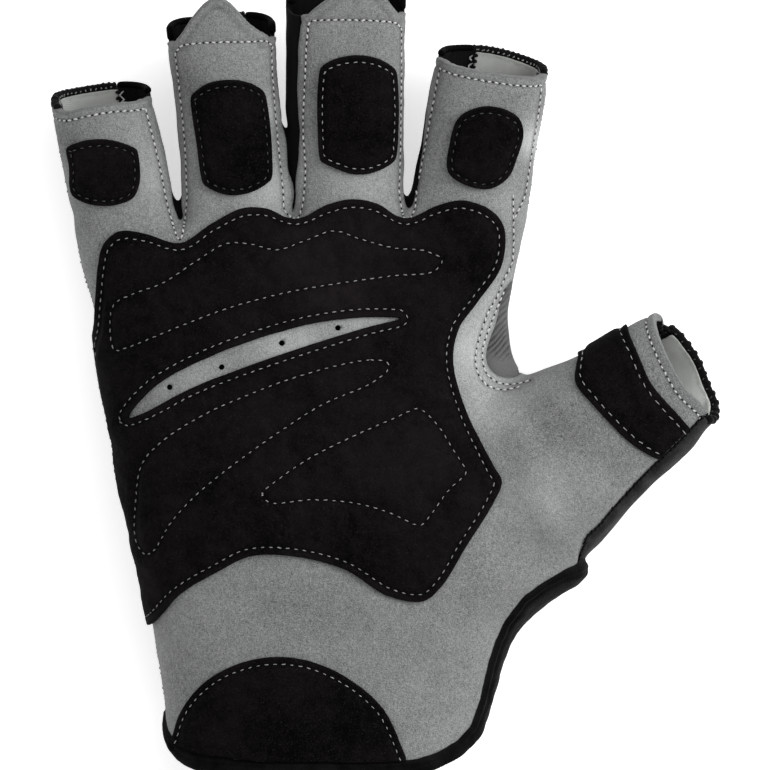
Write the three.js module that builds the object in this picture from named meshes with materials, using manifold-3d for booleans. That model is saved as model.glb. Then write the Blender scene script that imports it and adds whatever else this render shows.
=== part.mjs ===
// A half-finger weightlifting glove for the right hand, lying on its back with the palm up.
// Millimetres, +Z up. +X points to the thumb's side and +Y to the fingertips.
import * as THREE from 'three';
import { mergeVertices } from 'three/addons/utils/BufferGeometryUtils.js';
import Module from 'manifold-3d';

const wasm = await Module();
wasm.setup();

// Driving dimensions
const WALL = 2.0; // panel with its lining
const GAP = 0.3; // between neighbouring pieces
const SUEDE = 1.2; // thickness of the black overlays
const FLOOR_RISE = 2.6; // how far the wrist's back is raised over its strap
const STRAP = 2.3;
const STRAP_FROM = 20;
const STRAP_TO = 48;
const STRAP_TOP = 6.5;
const BINDING_WIDTH = 3.6;
const BINDING_PROUD = 0.9; // how far the binding stands out on each side of the wall
const RIM_RADIUS = 0.8;
const LINING = 0.8;
const LINING_DEPTH = 16;
const VENT_RADIUS = 0.8;
// Sides and steps of the lofts. The space inside is plainer than the outside.
const OUTSIDE = { palmSides: 24, digitSides: 14, steps: 2 };
const INSIDE = { palmSides: 18, digitSides: 12, steps: 1 };
const PALM_SQUARENESS = 2.6;
const DIGIT_SQUARENESS = 2.4;
const SUEDE_LIFT = 1.5; // how far above the side seam an overlay ends
const TAB_LIFT = 6; // the same for a pull tab
const LINING_DROP = 3; // how far below the side seam the lining ends
const OUTLINE_STEPS = { pad: 52, slit: 20, patch: 16, band: 22, tab: 18 };
const RIM_STEPS = 10;
const FAR = 260; // past everything

// Colours of the finishes
const FINISHES = {
  grey_suede: { color: 0x939796, roughness: 0.95, metalness: 0 },
  black_suede: { color: 0x121012, roughness: 0.95, metalness: 0 },
  charcoal_leather: { color: 0x2b2c2e, roughness: 0.55, metalness: 0 },
  black_knit: { color: 0x0e0e10, roughness: 0.9, metalness: 0 },
  grey_stretch: { color: 0x6a6c6c, roughness: 0.8, metalness: 0 },
  black_leather: { color: 0x151516, roughness: 0.5, metalness: 0 },
  black_thread: { color: 0x101010, roughness: 0.7, metalness: 0 },
  pale_lining: { color: 0xbfc4ba, roughness: 0.9, metalness: 0 },
};

// Rows of numbers become records with named columns.
function table(columns, rows) {
  return rows.map((row) => Object.fromEntries(columns.map((name, i) => [name, row[i]])));
}

// The hand's body, from past the wrist to the finger roots: edges, how much further the thumb's side
// reaches, and heights of back, side and palm
const PALM = table(['y', 'left', 'right', 'slant', 'base', 'side', 'crown'], [
  [-8, -35.6, 40.8, 0, 1.2, 13.0, 29.0],
  [12, -36.0, 43.2, 0, 1.2, 13.0, 30.5],
  [25, -37.4, 46.4, 0, 1.2, 13.0, 32.0],
  [34, -38.8, 49.8, 0, 1.2, 13.0, 33.5],
  [38, -39.3, 52.6, 0, 1.2, 13.5, 34.2],
  [43, -40.4, 57.8, 0, 1.2, 14.0, 35.0],
  [49, -41.4, 65.2, 0, 1.0, 15.0, 35.6],
  [55, -42.7, 68.0, 0, 0.0, 15.0, 36.0],
  [65, -44.8, 68.0, 0, -1.2, 15.0, 36.0],
  [75, -47.2, 65.0, 0, -1.2, 15.0, 35.5],
  [87, -49.2, 60.0, 0, -1.2, 14.0, 34.0],
  [97, -50.7, 54.6, 0, -1.2, 13.0, 32.3],
  [105, -51.8, 50.4, 0, -1.2, 13.0, 31.0],
  [114, -53.4, 49.4, 0, -1.2, 13.0, 29.8],
  [123, -56.0, 50.2, 2, -1.0, 13.0, 28.4],
  [129.5, -57.4, 51.8, 4, 1.6, 14.0, 27.2],
  [135.8, -58.4, 53.0, 6, 4.6, 15.0, 25.6],
]);

// The digits, from a root inside the body to the rim. A pull tab's digit has one section past its rim.
const DIGIT_COLUMNS = ['leftX', 'leftY', 'rightX', 'rightY', 'level', 'thick', 'curl'];
const DIGITS = {
  pinky: table(DIGIT_COLUMNS, [
    [-53.5, 113.0, -28.0, 118.6, 14.0, 19.0, 0],
    [-58.4, 133.8, -32.9, 139.0, 15.0, 19.5, 5],
    [-61.6, 150.4, -36.2, 155.2, 18.0, 19.0, 10],
    [-64.9, 168.4, -40.0, 170.2, 21.2, 18.5, 15],
  ]),
  ring: table(DIGIT_COLUMNS, [
    [-29.5, 116.0, -3.0, 118.3, 14.0, 20.0, 0],
    [-31.8, 139.2, -4.5, 141.4, 15.3, 20.5, 6],
    [-32.5, 157.0, -6.0, 159.0, 18.3, 20.0, 11],
    [-34.1, 173.8, -7.5, 175.4, 22.4, 19.5, 16],
    [-35.5, 185.6, -8.0, 186.2, 26.0, 19.0, 20],
    [-36.5, 195.2, -8.6, 195.8, 29.5, 19.0, 20],
  ]),
  middle: table(DIGIT_COLUMNS, [
    [-2.5, 118.0, 23.0, 117.6, 14.0, 20.5, 0],
    [-3.6, 140.6, 23.2, 140.4, 15.3, 21.0, 6],
    [-4.3, 160.0, 23.7, 159.8, 18.9, 20.5, 12],
    [-4.9, 178.0, 23.9, 177.8, 23.4, 20.0, 16],
    [-5.1, 193.4, 23.8, 193.0, 28.4, 19.5, 20],
    [-5.1, 203.4, 23.7, 203.0, 32.0, 19.5, 20],
  ]),
  index: table(DIGIT_COLUMNS, [
    [23.0, 120.4, 49.0, 115.6, 14.0, 19.5, 0],
    [24.8, 141.6, 53.6, 137.0, 15.2, 20.5, 5],
    [27.2, 157.4, 56.2, 152.4, 18.0, 20.0, 10],
    [29.9, 171.8, 58.5, 166.8, 21.8, 19.5, 14],
    [31.6, 180.2, 59.3, 175.6, 24.0, 19.0, 16],
  ]),
  thumb: table(DIGIT_COLUMNS, [
    [30.0, 89.0, 58.0, 49.0, 18.0, 30.0, 0],
    [45.5, 96.6, 70.5, 57.5, 20.0, 31.0, 2],
    [61.6, 102.6, 80.2, 67.0, 22.2, 28.0, 6],
    [71.0, 108.2, 87.9, 75.2, 23.6, 25.0, 9],
    [79.3, 112.9, 94.9, 81.9, 25.0, 22.5, 12],
    [86.2, 115.4, 100.0, 88.2, 26.6, 20.5, 15],
  ]),
};
const TABBED = ['ring', 'middle'];

// Height of the seam that joins front and back, along the glove, and its lift round the thumb
const SEAM = table(['y', 'z'], [
  [-40, 13], [127, 13], [140, 14.6], [155, 17.6], [170, 21.2], [185, 25.6], [220, 37],
]);
const THUMB_SEAM = {
  x: 71, // a point on the thumb's middle line
  y: 84.8,
  heading: THREE.MathUtils.degToRad(38.9),
  level: 22.4,
  climb: 0.13, // rise for each millimetre towards the tip
  reach: 17, // half the thumb's width
  liftLow: 9.2, // on the wrist's side, where the back leather shows
  dipHigh: 0.6, // share of that lift by which it drops on the index finger's side
  from: 44, // the lift grows between these two distances from the middle line of the hand
  to: 60,
};

// Outlines from above, each a closed smooth curve
const OUTLINES = {
  palm_pad: [
    [-70, 112], [-54, 123], [-52.5, 133], [-48, 136], [-41, 135.6], [-32.5, 133.4], [-25, 138],
    [-17, 141.8], [-11, 142], [-3.5, 139.8], [4, 142.6], [10.5, 144], [17, 143], [24, 139.8],
    [31, 142.4], [38, 143.8], [45.5, 141.2], [48.8, 137], [48.3, 127.5], [42, 118.2], [37.5, 112],
    [36, 104], [39, 92], [45.5, 78], [47.8, 73.5], [46, 68.5], [39, 57.3], [33, 47.5], [28.5, 43.8],
    [20, 45], [8.5, 51.8], [-4, 55], [-15, 55], [-23, 51.2], [-33, 45.2], [-41, 37.5], [-56, 33],
    [-66, 70],
  ],
  slit: [
    [-45.8, 89.6], [-40, 96.6], [-28, 103.6], [-12.5, 109.6], [1, 113.2], [14, 114.8], [22.6, 114.4],
    [15.5, 112.6], [1, 108.2], [-14.5, 103], [-29.5, 97.2], [-41, 91.2],
  ],
  finger_pad_pinky: [
    [-61, 157], [-57.5, 159.2], [-52.5, 159.4], [-47, 158.2], [-43.2, 156.4], [-42.4, 150],
    [-43.2, 145.6], [-48, 143.4], [-54.5, 143], [-59.6, 145], [-60.4, 150],
  ],
  finger_pad_ring: [
    [-29.4, 170.6], [-25, 173.6], [-18, 174.2], [-12.4, 172.4], [-10.6, 169], [-9.4, 158],
    [-9.6, 148.6], [-14, 146], [-20, 145], [-26, 147.4], [-28.4, 158],
  ],
  finger_pad_middle: [
    [3.2, 177.6], [7, 180], [14, 180.2], [20, 178.6], [22, 175], [22, 165], [21, 156], [18, 152.8],
    [12, 150.8], [5.4, 152.6], [2.2, 155.6], [2.2, 166],
  ],
  finger_pad_index: [
    [42.6, 167.2], [48, 166.8], [52, 164.2], [53, 160.4], [51.4, 154], [49.6, 149.4], [45, 146.6],
    [38.6, 147.8], [34.6, 151], [35.2, 158], [37.4, 164.4],
  ],
  thumb_band: [
    [64, 112], [66, 104], [66.3, 98], [69.5, 93], [75, 87], [80.5, 82], [86, 78.6], [90, 78],
    [97, 84], [95, 87.6], [90.6, 92], [87, 97.4], [84, 103.6], [80.6, 110], [78, 118],
  ],
  heel_patch: [
    [-35.5, 6], [-34.6, 11], [-32.8, 16], [-28.6, 21.6], [-22, 26.4], [-13, 29.4], [-4, 29.6],
    [4, 27.4], [12, 22.8], [18.4, 16.8], [22.4, 9], [24.6, 0], [14, -9], [-20, -9],
  ],
};

// The stretch insert in the crotch of the thumb, the edge strip below the thumb, and the pull tabs
const GUSSET = [
  [50.6, 124], [48, 119], [46, 112.4], [44.2, 107.6], [43.8, 104.6], [44.6, 102], [47, 99.9], [50, 99.5],
  [52.4, 100.2], [54.6, 103.4], [58, 109], [58, 124],
];
const GUSSET_BASE = 9;
const SIDE_EDGE = [
  [37, 9], [40.2, 12.4], [42.6, 19], [44.6, 28], [46.4, 33.6], [48.8, 38.8], [53.4, 44.8], [58, 48.2],
  [64.5, 50.2], [68, 53.8], [76, 50], [60, 20], [46, 4],
];
const SIDE_EDGE_BASE = 9;
const TABS = {
  ring: [
    [-34.4, 180], [-34.2, 184.4], [-31.2, 187.2], [-28.4, 191], [-25.4, 193.6], [-22.4, 194], [-18.4, 191.8],
    [-14.4, 188], [-10.4, 185.6], [-8, 184], [-8.2, 180],
  ],
  middle: [
    [-1.4, 186], [-0.8, 190.6], [2.6, 193.4], [7, 196.4], [11.5, 197.8], [16, 196.6], [20.2, 193.8],
    [23, 190.6], [23.2, 186],
  ],
};
const VENTS = [[-35, 97.2], [-22, 102.2], [-7, 108.2], [7, 112]];
const VENT_SIDES = 6;

// The wrist's edge from the side: the heel of the palm reaches further than the back.
const MOUTH = table(['y', 'z'], [
  [-0.6, 70], [-0.6, 30], [1.4, 26], [6.6, 21.5], [12.5, 15], [14.5, 8], [15, -20],
]);

// Bands that hold the side strips between two fingers: edges, foot, and head beside each finger
const STRIP_COLUMNS = ['y', 'left', 'right', 'foot', 'headLeft', 'headRight'];
const STRIPS = {
  pinky_ring: table(STRIP_COLUMNS, [
    [133.6, -45, -18, 9, 18.4, 18.4],
    [146, -46, -18, 10.6, 20, 20],
    [160, -48, -19, 13.6, 23.4, 23.4],
    [200, -54, -21.5, 25, 34, 34],
  ]),
  ring_middle: table(STRIP_COLUMNS, [
    [134.6, -18, 10, 9, 18.4, 20.4],
    [146, -18, 10, 10.6, 20, 23.6],
    [160, -19, 10, 13.6, 23.4, 27],
    [205, -21.5, 10, 26.4, 37, 41.6],
  ]),
  middle_index: table(STRIP_COLUMNS, [
    [134.6, 10, 39, 9, 18.4, 18.4],
    [146, 10, 40, 10.6, 20, 20],
    [160, 10, 42, 13.6, 23.4, 23.4],
    [205, 10, 48, 26.4, 37, 37],
  ]),
};

// A closed solid from corner points and triangles
function solidFrom(points, triangles) {
  const mesh = new wasm.Mesh({
    numProp: 3,
    vertProperties: new Float32Array(points.flat()),
    triVerts: new Uint32Array(triangles.flat()),
  });
  return new wasm.Manifold(mesh);
}

// A closed solid from a geometry whose shared vertices are merged first
function solidFromGeometry(geometry) {
  const bare = geometry.clone();
  bare.deleteAttribute('normal');
  bare.deleteAttribute('uv');
  const merged = mergeVertices(bare, 1e-4);
  const mesh = new wasm.Mesh({
    numProp: 3,
    vertProperties: new Float32Array(merged.attributes.position.array),
    triVerts: new Uint32Array(merged.index.array),
  });
  return new wasm.Manifold(mesh);
}

// A closed skin through rings of points that run against the loft's direction, capped at both ends
function loft(rings) {
  const sides = rings[0].length;
  const points = rings.flat();
  const triangles = [];
  for (let ring = 0; ring + 1 < rings.length; ring++) {
    for (let side = 0; side < sides; side++) {
      const here = ring * sides + side;
      const next = ring * sides + ((side + 1) % sides);
      triangles.push([here, here + sides, next], [here + sides, next + sides, next]);
    }
  }
  const last = (rings.length - 1) * sides;
  for (let side = 1; side + 1 < sides; side++) {
    triangles.push([0, side, side + 1], [last, last + side + 1, last + side]);
  }
  return solidFrom(points, triangles);
}

// Rows between the table's rows, on a smooth curve through each column
function smoothRows(rows, steps) {
  const names = Object.keys(rows[0]);
  const smooth = [rows[0]];
  for (let i = 0; i + 1 < rows.length; i++) {
    const before = rows[Math.max(i - 1, 0)];
    const after = rows[Math.min(i + 2, rows.length - 1)];
    for (let step = 1; step <= steps; step++) {
      const t = step / steps;
      smooth.push(Object.fromEntries(names.map((name) => {
        const slopeIn = (rows[i + 1][name] - before[name]) / 2;
        const slopeOut = (after[name] - rows[i][name]) / 2;
        const share = 3 * t ** 2 - 2 * t ** 3;
        const level = (1 - share) * rows[i][name] + share * rows[i + 1][name];
        const lean = (t ** 3 - 2 * t ** 2 + t) * slopeIn + (t ** 3 - t ** 2) * slopeOut;
        return [name, level + lean];
      })));
    }
  }
  return smooth;
}

// The middle and the three directions of a section: across, up out of the palm, and along the digit
function sectionFrame(section) {
  const left = new THREE.Vector3(section.leftX, section.leftY, section.level);
  const right = new THREE.Vector3(section.rightX, section.rightY, section.level);
  const across = right.clone().sub(left);
  const half = across.length() / 2;
  across.normalize();
  const heading = new THREE.Vector3(-across.y, across.x, 0);
  const curl = THREE.MathUtils.degToRad(section.curl);
  const up = new THREE.Vector3(0, 0, Math.cos(curl)).addScaledVector(heading, -Math.sin(curl));
  const along = new THREE.Vector3(0, 0, Math.sin(curl)).addScaledVector(heading, Math.cos(curl));
  const middle = left.clone().add(right).multiplyScalar(0.5);
  return { middle, across, up, along, half };
}

// A point of a section's rounded outline, at an angle from the right-hand edge
function outlinePoint(section, angle, grow, squareness) {
  const { middle, across, up, half } = sectionFrame(section);
  const cosine = Math.cos(angle);
  const sine = Math.sin(angle);
  const reach = (sine >= 0 ? section.above : section.below) + grow;
  const sideways = Math.sign(cosine) * Math.abs(cosine) ** (2 / squareness) * (half + grow);
  const upwards = Math.sign(sine) * Math.abs(sine) ** (2 / squareness) * reach;
  return middle.addScaledVector(across, sideways).addScaledVector(up, upwards);
}

function sectionRing(section, grow, sides, squareness) {
  const ring = [];
  for (let i = 0; i < sides; i++) {
    ring.push(outlinePoint(section, (2 * Math.PI * i) / sides, grow, squareness).toArray());
  }
  return ring;
}

// A section moved along its digit
function shifted(section, distance) {
  const { along } = sectionFrame(section);
  return {
    ...section,
    leftX: section.leftX + along.x * distance,
    leftY: section.leftY + along.y * distance,
    rightX: section.rightX + along.x * distance,
    rightY: section.rightY + along.y * distance,
    level: section.level + along.z * distance,
  };
}

const palmSections = PALM.map((row) => ({
  leftX: row.left,
  leftY: row.y,
  rightX: row.right,
  rightY: row.y + row.slant,
  level: row.side,
  above: row.crown - row.side,
  below: row.side - row.base,
  curl: 0,
}));

function digitSections(name, steps) {
  const rows = smoothRows(DIGITS[name], steps);
  return rows.map((row) => ({ ...row, above: row.thick / 2, below: row.thick / 2 }));
}

// The sections up to a digit's rim, without those of its pull tab
function toRim(name, steps) {
  return digitSections(name, steps).slice(0, TABBED.includes(name) ? -steps : undefined);
}

function palmForm(grow, endShift, detail) {
  const sections = palmSections.slice();
  sections[0] = shifted(sections[0], -2 * endShift);
  sections[sections.length - 1] = shifted(sections[sections.length - 1], -endShift);
  return loft(sections.map((section) => sectionRing(section, grow, detail.palmSides, PALM_SQUARENESS)));
}

function digitForm(sections, grow, detail) {
  return loft(sections.map((section) => sectionRing(section, grow, detail.digitSides, DIGIT_SQUARENESS)));
}

// The outside of the whole glove, grown by a distance
function outerForm(grow) {
  let form = palmForm(grow, 0, OUTSIDE);
  for (const name of Object.keys(DIGITS)) {
    form = form.add(digitForm(toRim(name, OUTSIDE.steps), grow, OUTSIDE));
  }
  return form;
}

// The space inside, reaching out of every opening
function innerForm(inset) {
  let form = palmForm(-inset, inset, INSIDE);
  for (const name of Object.keys(DIGITS)) {
    const sections = toRim(name, INSIDE.steps);
    sections.push(shifted(sections.at(-1), 4 * WALL));
    form = form.add(digitForm(sections, -inset, INSIDE));
  }
  return form;
}

// A prism over an outline seen from above
function prism(outline, from, to) {
  const shape = new THREE.Shape(outline.map(([x, y]) => new THREE.Vector2(x, y)));
  const geometry = new THREE.ExtrudeGeometry(shape, { depth: to - from, bevelEnabled: false });
  geometry.translate(0, 0, from);
  return solidFromGeometry(geometry);
}

// A bar along X over an outline seen from the side, given as y and z
function crossBar(outline) {
  const shape = new THREE.Shape(outline.map(([y, z]) => new THREE.Vector2(y, z)));
  const geometry = new THREE.ExtrudeGeometry(shape, { depth: 2 * FAR, bevelEnabled: false });
  const turn = new THREE.Matrix4().makeBasis(
    new THREE.Vector3(0, 1, 0),
    new THREE.Vector3(0, 0, 1),
    new THREE.Vector3(1, 0, 0),
  );
  geometry.applyMatrix4(turn);
  geometry.translate(-FAR, 0, 0);
  return solidFromGeometry(geometry);
}

// Points on a smooth closed curve through an outline's points
function smoothOutline(outline, count) {
  const curve = new THREE.CatmullRomCurve3(
    outline.map(([x, y]) => new THREE.Vector3(x, y, 0)),
    true,
    'centripetal',
  );
  return curve.getSpacedPoints(count).slice(0, count).map((point) => [point.x, point.y]);
}

// Straight interpolation in a table of y and z
function heightAt(rows, y) {
  const after = rows.findIndex((row) => row.y >= y);
  const low = rows[after - 1];
  const high = rows[after];
  return low.z + ((high.z - low.z) * (y - low.y)) / (high.y - low.y);
}

// Height of the surface that parts the front from the back
function seamHeight(x, y) {
  const plain = heightAt(SEAM, y);
  const sin = Math.sin(THUMB_SEAM.heading);
  const cos = Math.cos(THUMB_SEAM.heading);
  const along = (x - THUMB_SEAM.x) * cos + (y - THUMB_SEAM.y) * sin;
  const aside = (x - THUMB_SEAM.x) * sin - (y - THUMB_SEAM.y) * cos;
  const tilt = THREE.MathUtils.clamp(aside / THUMB_SEAM.reach, -THUMB_SEAM.dipHigh, 1);
  const onThumb = THUMB_SEAM.level + THUMB_SEAM.climb * along + THUMB_SEAM.liftLow * tilt;
  const share = THREE.MathUtils.smoothstep(x, THUMB_SEAM.from, THUMB_SEAM.to);
  const above = 1 - THREE.MathUtils.smoothstep(y, 117, 125);
  return plain + (onThumb - plain) * share * above;
}

const SEAM_GRID_X = [-FAR, 44, 56, 68, 80, 92, FAR];
const SEAM_GRID_Y = [-39, 44, 56, 68, 80, 92, 104, 116, 126, 140, 155, 170, 185, 219];

// All space above the parting surface, moved up by a distance
function aboveSeam(lift) {
  const rings = SEAM_GRID_Y.map((y) => {
    const under = SEAM_GRID_X.map((x) => [x, y, seamHeight(x, y) + lift]).reverse();
    return [[-FAR, y, FAR], [FAR, y, FAR], ...under].reverse();
  });
  return loft(rings);
}

// All space outside the wrist's edge, moved along the glove by a distance
function beyondMouth(distance) {
  const edge = MOUTH.map((row) => [row.y + distance, row.z]);
  return crossBar([...edge, [-FAR, -20], [-FAR, 70]]);
}

// All space above the flat that the glove lies on, which steps up under the wrist
function aboveFloor(lift) {
  const rise = FLOOR_RISE + lift;
  return crossBar([[-FAR, rise], [52, rise], [60, lift], [FAR, lift], [FAR, FAR], [-FAR, FAR]]);
}

// An outline with its corners moved outwards by a margin
function grownOutline(outline, margin) {
  const corners = outline.map(([x, y]) => new THREE.Vector2(x, y));
  const turn = THREE.ShapeUtils.area(corners) > 0 ? 1 : -1;
  return corners.map((corner, i) => {
    const before = corners.at(i - 1);
    const after = corners[(i + 1) % corners.length];
    const arrive = corner.clone().sub(before).normalize();
    const leave = after.clone().sub(corner).normalize();
    const normal = new THREE.Vector2(arrive.y + leave.y, -arrive.x - leave.x).normalize();
    const reach = (turn * margin) / Math.sqrt((1 + arrive.dot(leave)) / 2);
    return [corner.x + normal.x * reach, corner.y + normal.y * reach];
  });
}

// The zones of the smaller pieces, each grown by a margin that leaves the gap to its neighbours
function bindingZone(margin) {
  const edge = prism(grownOutline(SIDE_EDGE, margin), SIDE_EDGE_BASE - margin, FAR);
  return beyondMouth(BINDING_WIDTH + margin).add(edge);
}

function gussetZone(margin) {
  return prism(grownOutline(GUSSET, margin), GUSSET_BASE - margin, FAR);
}

function stripZone(name, margin) {
  return loft(STRIPS[name].map((row, i) => {
    const y = i === 0 ? row.y - margin : row.y;
    return [
      [row.right, y, row.foot - margin],
      [row.right, y, row.headRight + margin],
      [row.left, y, row.headLeft + margin],
      [row.left, y, row.foot - margin],
    ];
  }));
}

// The walls of the glove between its outside and the space inside
const hollow = innerForm(WALL).intersect(aboveFloor(WALL));
const shell = outerForm(0).intersect(aboveFloor(0)).subtract(hollow);
const overlayBed = outerForm(GAP);
const overlayTop = outerForm(GAP + SUEDE);
const overlayLayer = overlayTop.subtract(overlayBed);

// The front and back panels are what the smaller pieces leave of the walls.
let strips = stripZone('pinky_ring', GAP);
strips = strips.add(stripZone('ring_middle', GAP)).add(stripZone('middle_index', GAP));
const panels = shell.subtract(bindingZone(GAP)).subtract(gussetZone(GAP)).subtract(strips);

// A pull tab carries the front of its finger on past the opening.
function pullTab(name) {
  const sections = digitSections(name, OUTSIDE.steps).slice(-5);
  const inner = sections.slice();
  inner[0] = shifted(inner[0], -WALL);
  inner[inner.length - 1] = shifted(inner.at(-1), WALL);
  const wall = digitForm(sections, 0, OUTSIDE).subtract(digitForm(inner, -WALL, OUTSIDE));
  const tongue = wall.intersect(prism(smoothOutline(TABS[name], OUTLINE_STEPS.tab), 0, FAR));
  return tongue.intersect(aboveSeam(TAB_LIFT)).subtract(strips);
}

function palmPanel() {
  let panel = panels.intersect(aboveSeam(GAP / 2));
  for (const name of TABBED) {
    panel = panel.add(pullTab(name));
  }
  for (const [x, y] of VENTS) {
    const vent = new THREE.CylinderGeometry(VENT_RADIUS, VENT_RADIUS, 40, VENT_SIDES);
    vent.rotateX(Math.PI / 2);
    vent.translate(x, y, 40);
    panel = panel.subtract(solidFromGeometry(vent));
  }
  return panel;
}

// A suede overlay lies on the front, inside its outline and clear of the binding and the seam.
function overlay(name, points) {
  return overlayLayer
    .intersect(prism(smoothOutline(OUTLINES[name], points), 0, FAR))
    .intersect(aboveSeam(SUEDE_LIFT))
    .subtract(bindingZone(GAP));
}

function palmPad() {
  const slit = prism(smoothOutline(OUTLINES.slit, OUTLINE_STEPS.slit), 0, FAR);
  return overlay('palm_pad', OUTLINE_STEPS.pad).subtract(slit);
}

function wristBinding() {
  const outside = outerForm(BINDING_PROUD).intersect(aboveFloor(0));
  const inside = innerForm(WALL + BINDING_PROUD / 2).intersect(aboveFloor(WALL + BINDING_PROUD / 2));
  return outside.subtract(inside).intersect(bindingZone(0)).subtract(beyondMouth(0));
}

function wristStrap() {
  const around = crossBar([[STRAP_FROM, 0], [STRAP_TO, 0], [STRAP_TO, STRAP_TOP], [STRAP_FROM, STRAP_TOP]]);
  const inside = outerForm(GAP).intersect(aboveFloor(-GAP));
  return outerForm(GAP + STRAP).intersect(around).subtract(inside);
}

// A cord round the back half of an opening
function fingerRim(name) {
  const rim = toRim(name, 1).at(-1);
  const seat = shifted(rim, GAP + RIM_RADIUS);
  const points = [];
  for (let i = 0; i <= RIM_STEPS; i++) {
    const angle = Math.PI * (1.03 + (0.94 * i) / RIM_STEPS);
    points.push(outlinePoint(seat, angle, -WALL / 2, DIGIT_SQUARENESS));
  }
  const profile = new THREE.Shape();
  profile.absarc(0, 0, RIM_RADIUS, 0, 2 * Math.PI);
  const geometry = new THREE.ExtrudeGeometry(profile, {
    extrudePath: new THREE.CatmullRomCurve3(points),
    steps: RIM_STEPS,
    curveSegments: 2,
  });
  return solidFromGeometry(geometry);
}

// The pale lining lies on the back panel's inner face, just inside an opening.
function lining(name) {
  const rim = toRim(name, 1).at(-1);
  const sections = [-LINING_DEPTH, -LINING_DEPTH / 2, 0].map((distance) => shifted(rim, distance));
  const inner = [-LINING_DEPTH - WALL, -LINING_DEPTH / 2, WALL].map((distance) => shifted(rim, distance));
  const bed = digitForm(sections, -WALL - GAP, INSIDE);
  const sleeve = bed.subtract(digitForm(inner, -WALL - GAP - LINING, INSIDE));
  return sleeve.subtract(aboveSeam(-LINING_DROP)).intersect(hollow);
}

const glove = new THREE.Group();

function addPiece(name, solid, finish) {
  const { vertProperties, triVerts, numProp } = solid.getMesh();
  const positions = new Float32Array((vertProperties.length / numProp) * 3);
  for (let i = 0; i < positions.length / 3; i++) {
    positions.set(vertProperties.subarray(i * numProp, i * numProp + 3), i * 3);
  }
  const geometry = new THREE.BufferGeometry();
  geometry.setAttribute('position', new THREE.BufferAttribute(positions, 3));
  geometry.setIndex(new THREE.BufferAttribute(new Uint32Array(triVerts), 1));
  const mesh = new THREE.Mesh(geometry, new THREE.MeshStandardMaterial(FINISHES[finish]));
  mesh.name = name;
  glove.add(mesh);
}

addPiece('palm_panel', palmPanel(), 'grey_suede');
addPiece('back_panel', panels.subtract(aboveSeam(-GAP / 2)), 'charcoal_leather');
for (const name of Object.keys(STRIPS)) {
  addPiece(`fourchette_${name}`, shell.intersect(stripZone(name, 0)), 'black_knit');
}
addPiece('thumb_gusset', shell.intersect(gussetZone(0)), 'grey_stretch');
addPiece('palm_pad', palmPad(), 'black_suede');
for (const name of ['pinky', 'ring', 'middle', 'index']) {
  addPiece(`finger_pad_${name}`, overlay(`finger_pad_${name}`, OUTLINE_STEPS.patch), 'black_suede');
}
addPiece('thumb_band', overlay('thumb_band', OUTLINE_STEPS.band), 'black_suede');
addPiece('heel_patch', overlay('heel_patch', OUTLINE_STEPS.band), 'black_suede');
addPiece('wrist_binding', wristBinding(), 'black_leather');
addPiece('wrist_strap', wristStrap(), 'black_leather');
for (const name of Object.keys(DIGITS)) {
  addPiece(`finger_rim_${name}`, fingerRim(name), 'black_thread');
}
for (const name of ['pinky', 'index', 'thumb']) {
  addPiece(`lining_${name}`, lining(name), 'pale_lining');
}

// The origin is under the middle of the glove, on what it lies on.
const box = new THREE.Box3().setFromObject(glove);
const middle = box.getCenter(new THREE.Vector3());
glove.position.set(-middle.x, -middle.y, -box.min.z);

export default glove;
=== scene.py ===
"""Looks of a half-finger weightlifting glove for the right hand, lying on its back with the palm up.

The tables hold millimetres in the glove's own pattern, seen from the palm side. Meshes are in metres.
"""

import logging
import math
from dataclasses import dataclass, field
from enum import Enum
from functools import cache
from typing import Callable, NamedTuple, Sequence

import bpy
import numpy as np
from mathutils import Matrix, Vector, noise
from mathutils.bvhtree import BVHTree


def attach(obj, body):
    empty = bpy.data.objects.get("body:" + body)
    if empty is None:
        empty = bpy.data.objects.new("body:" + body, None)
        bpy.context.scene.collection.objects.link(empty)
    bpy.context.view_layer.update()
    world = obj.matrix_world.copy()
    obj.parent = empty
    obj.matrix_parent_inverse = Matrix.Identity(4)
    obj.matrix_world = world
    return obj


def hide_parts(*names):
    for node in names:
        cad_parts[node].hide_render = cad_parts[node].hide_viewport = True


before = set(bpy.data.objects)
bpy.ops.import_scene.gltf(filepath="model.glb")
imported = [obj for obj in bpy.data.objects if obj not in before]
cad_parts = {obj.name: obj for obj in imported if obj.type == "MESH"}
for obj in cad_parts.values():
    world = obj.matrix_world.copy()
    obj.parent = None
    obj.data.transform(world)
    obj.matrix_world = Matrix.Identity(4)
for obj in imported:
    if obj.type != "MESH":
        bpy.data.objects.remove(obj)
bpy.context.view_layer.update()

log = logging.getLogger("glove")

Array = np.ndarray
Row = dict[str, float]
Run = tuple[Array, Array]  # points along a seam and the surface's normals there
Span = tuple[float, float]
Tone = tuple[float, float, float]
Piece = bpy.types.Object
Socket = bpy.types.NodeSocket

MM = 0.001  # metres in a millimetre
PATTERN_ORIGIN = np.array((18.393, 98.691, 0.0))  # where the row frame's origin lies in the pattern
VOXEL = 0.9  # edge of the form's cells
SMOOTHING = 26  # passes that blend the digits into the palm
REGROWTH = 0.25  # what the smoothing took off the form
FAR = 40.0  # a distance past every edge treatment
TINY = 1e-12  # what keeps a division safe
ON_LINE = 1e-6  # how near a mark's value is to a cut's on the cut itself
SLIVER = 0.02  # share of its surroundings' normals below which a point's own counts for nothing
FLOOR_RISE = 2.6  # how far the wrist's back is raised over its strap
FLOOR_STEP = (52.0, 60.0)  # where that rise ends
PALM_SQUARENESS = 2.6
DIGIT_SQUARENESS = 2.4
BINDING_WIDTH = 3.6
SEAM_GAP = 0.1  # between the seam or the binding and a panel that ends there
FRONT_GAP = 0.15  # between the side seam and the front
SEAM_ROLL = 0.75  # how far a panel turns in at the side seam
ROLL_WIDTH = 2.2
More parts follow.
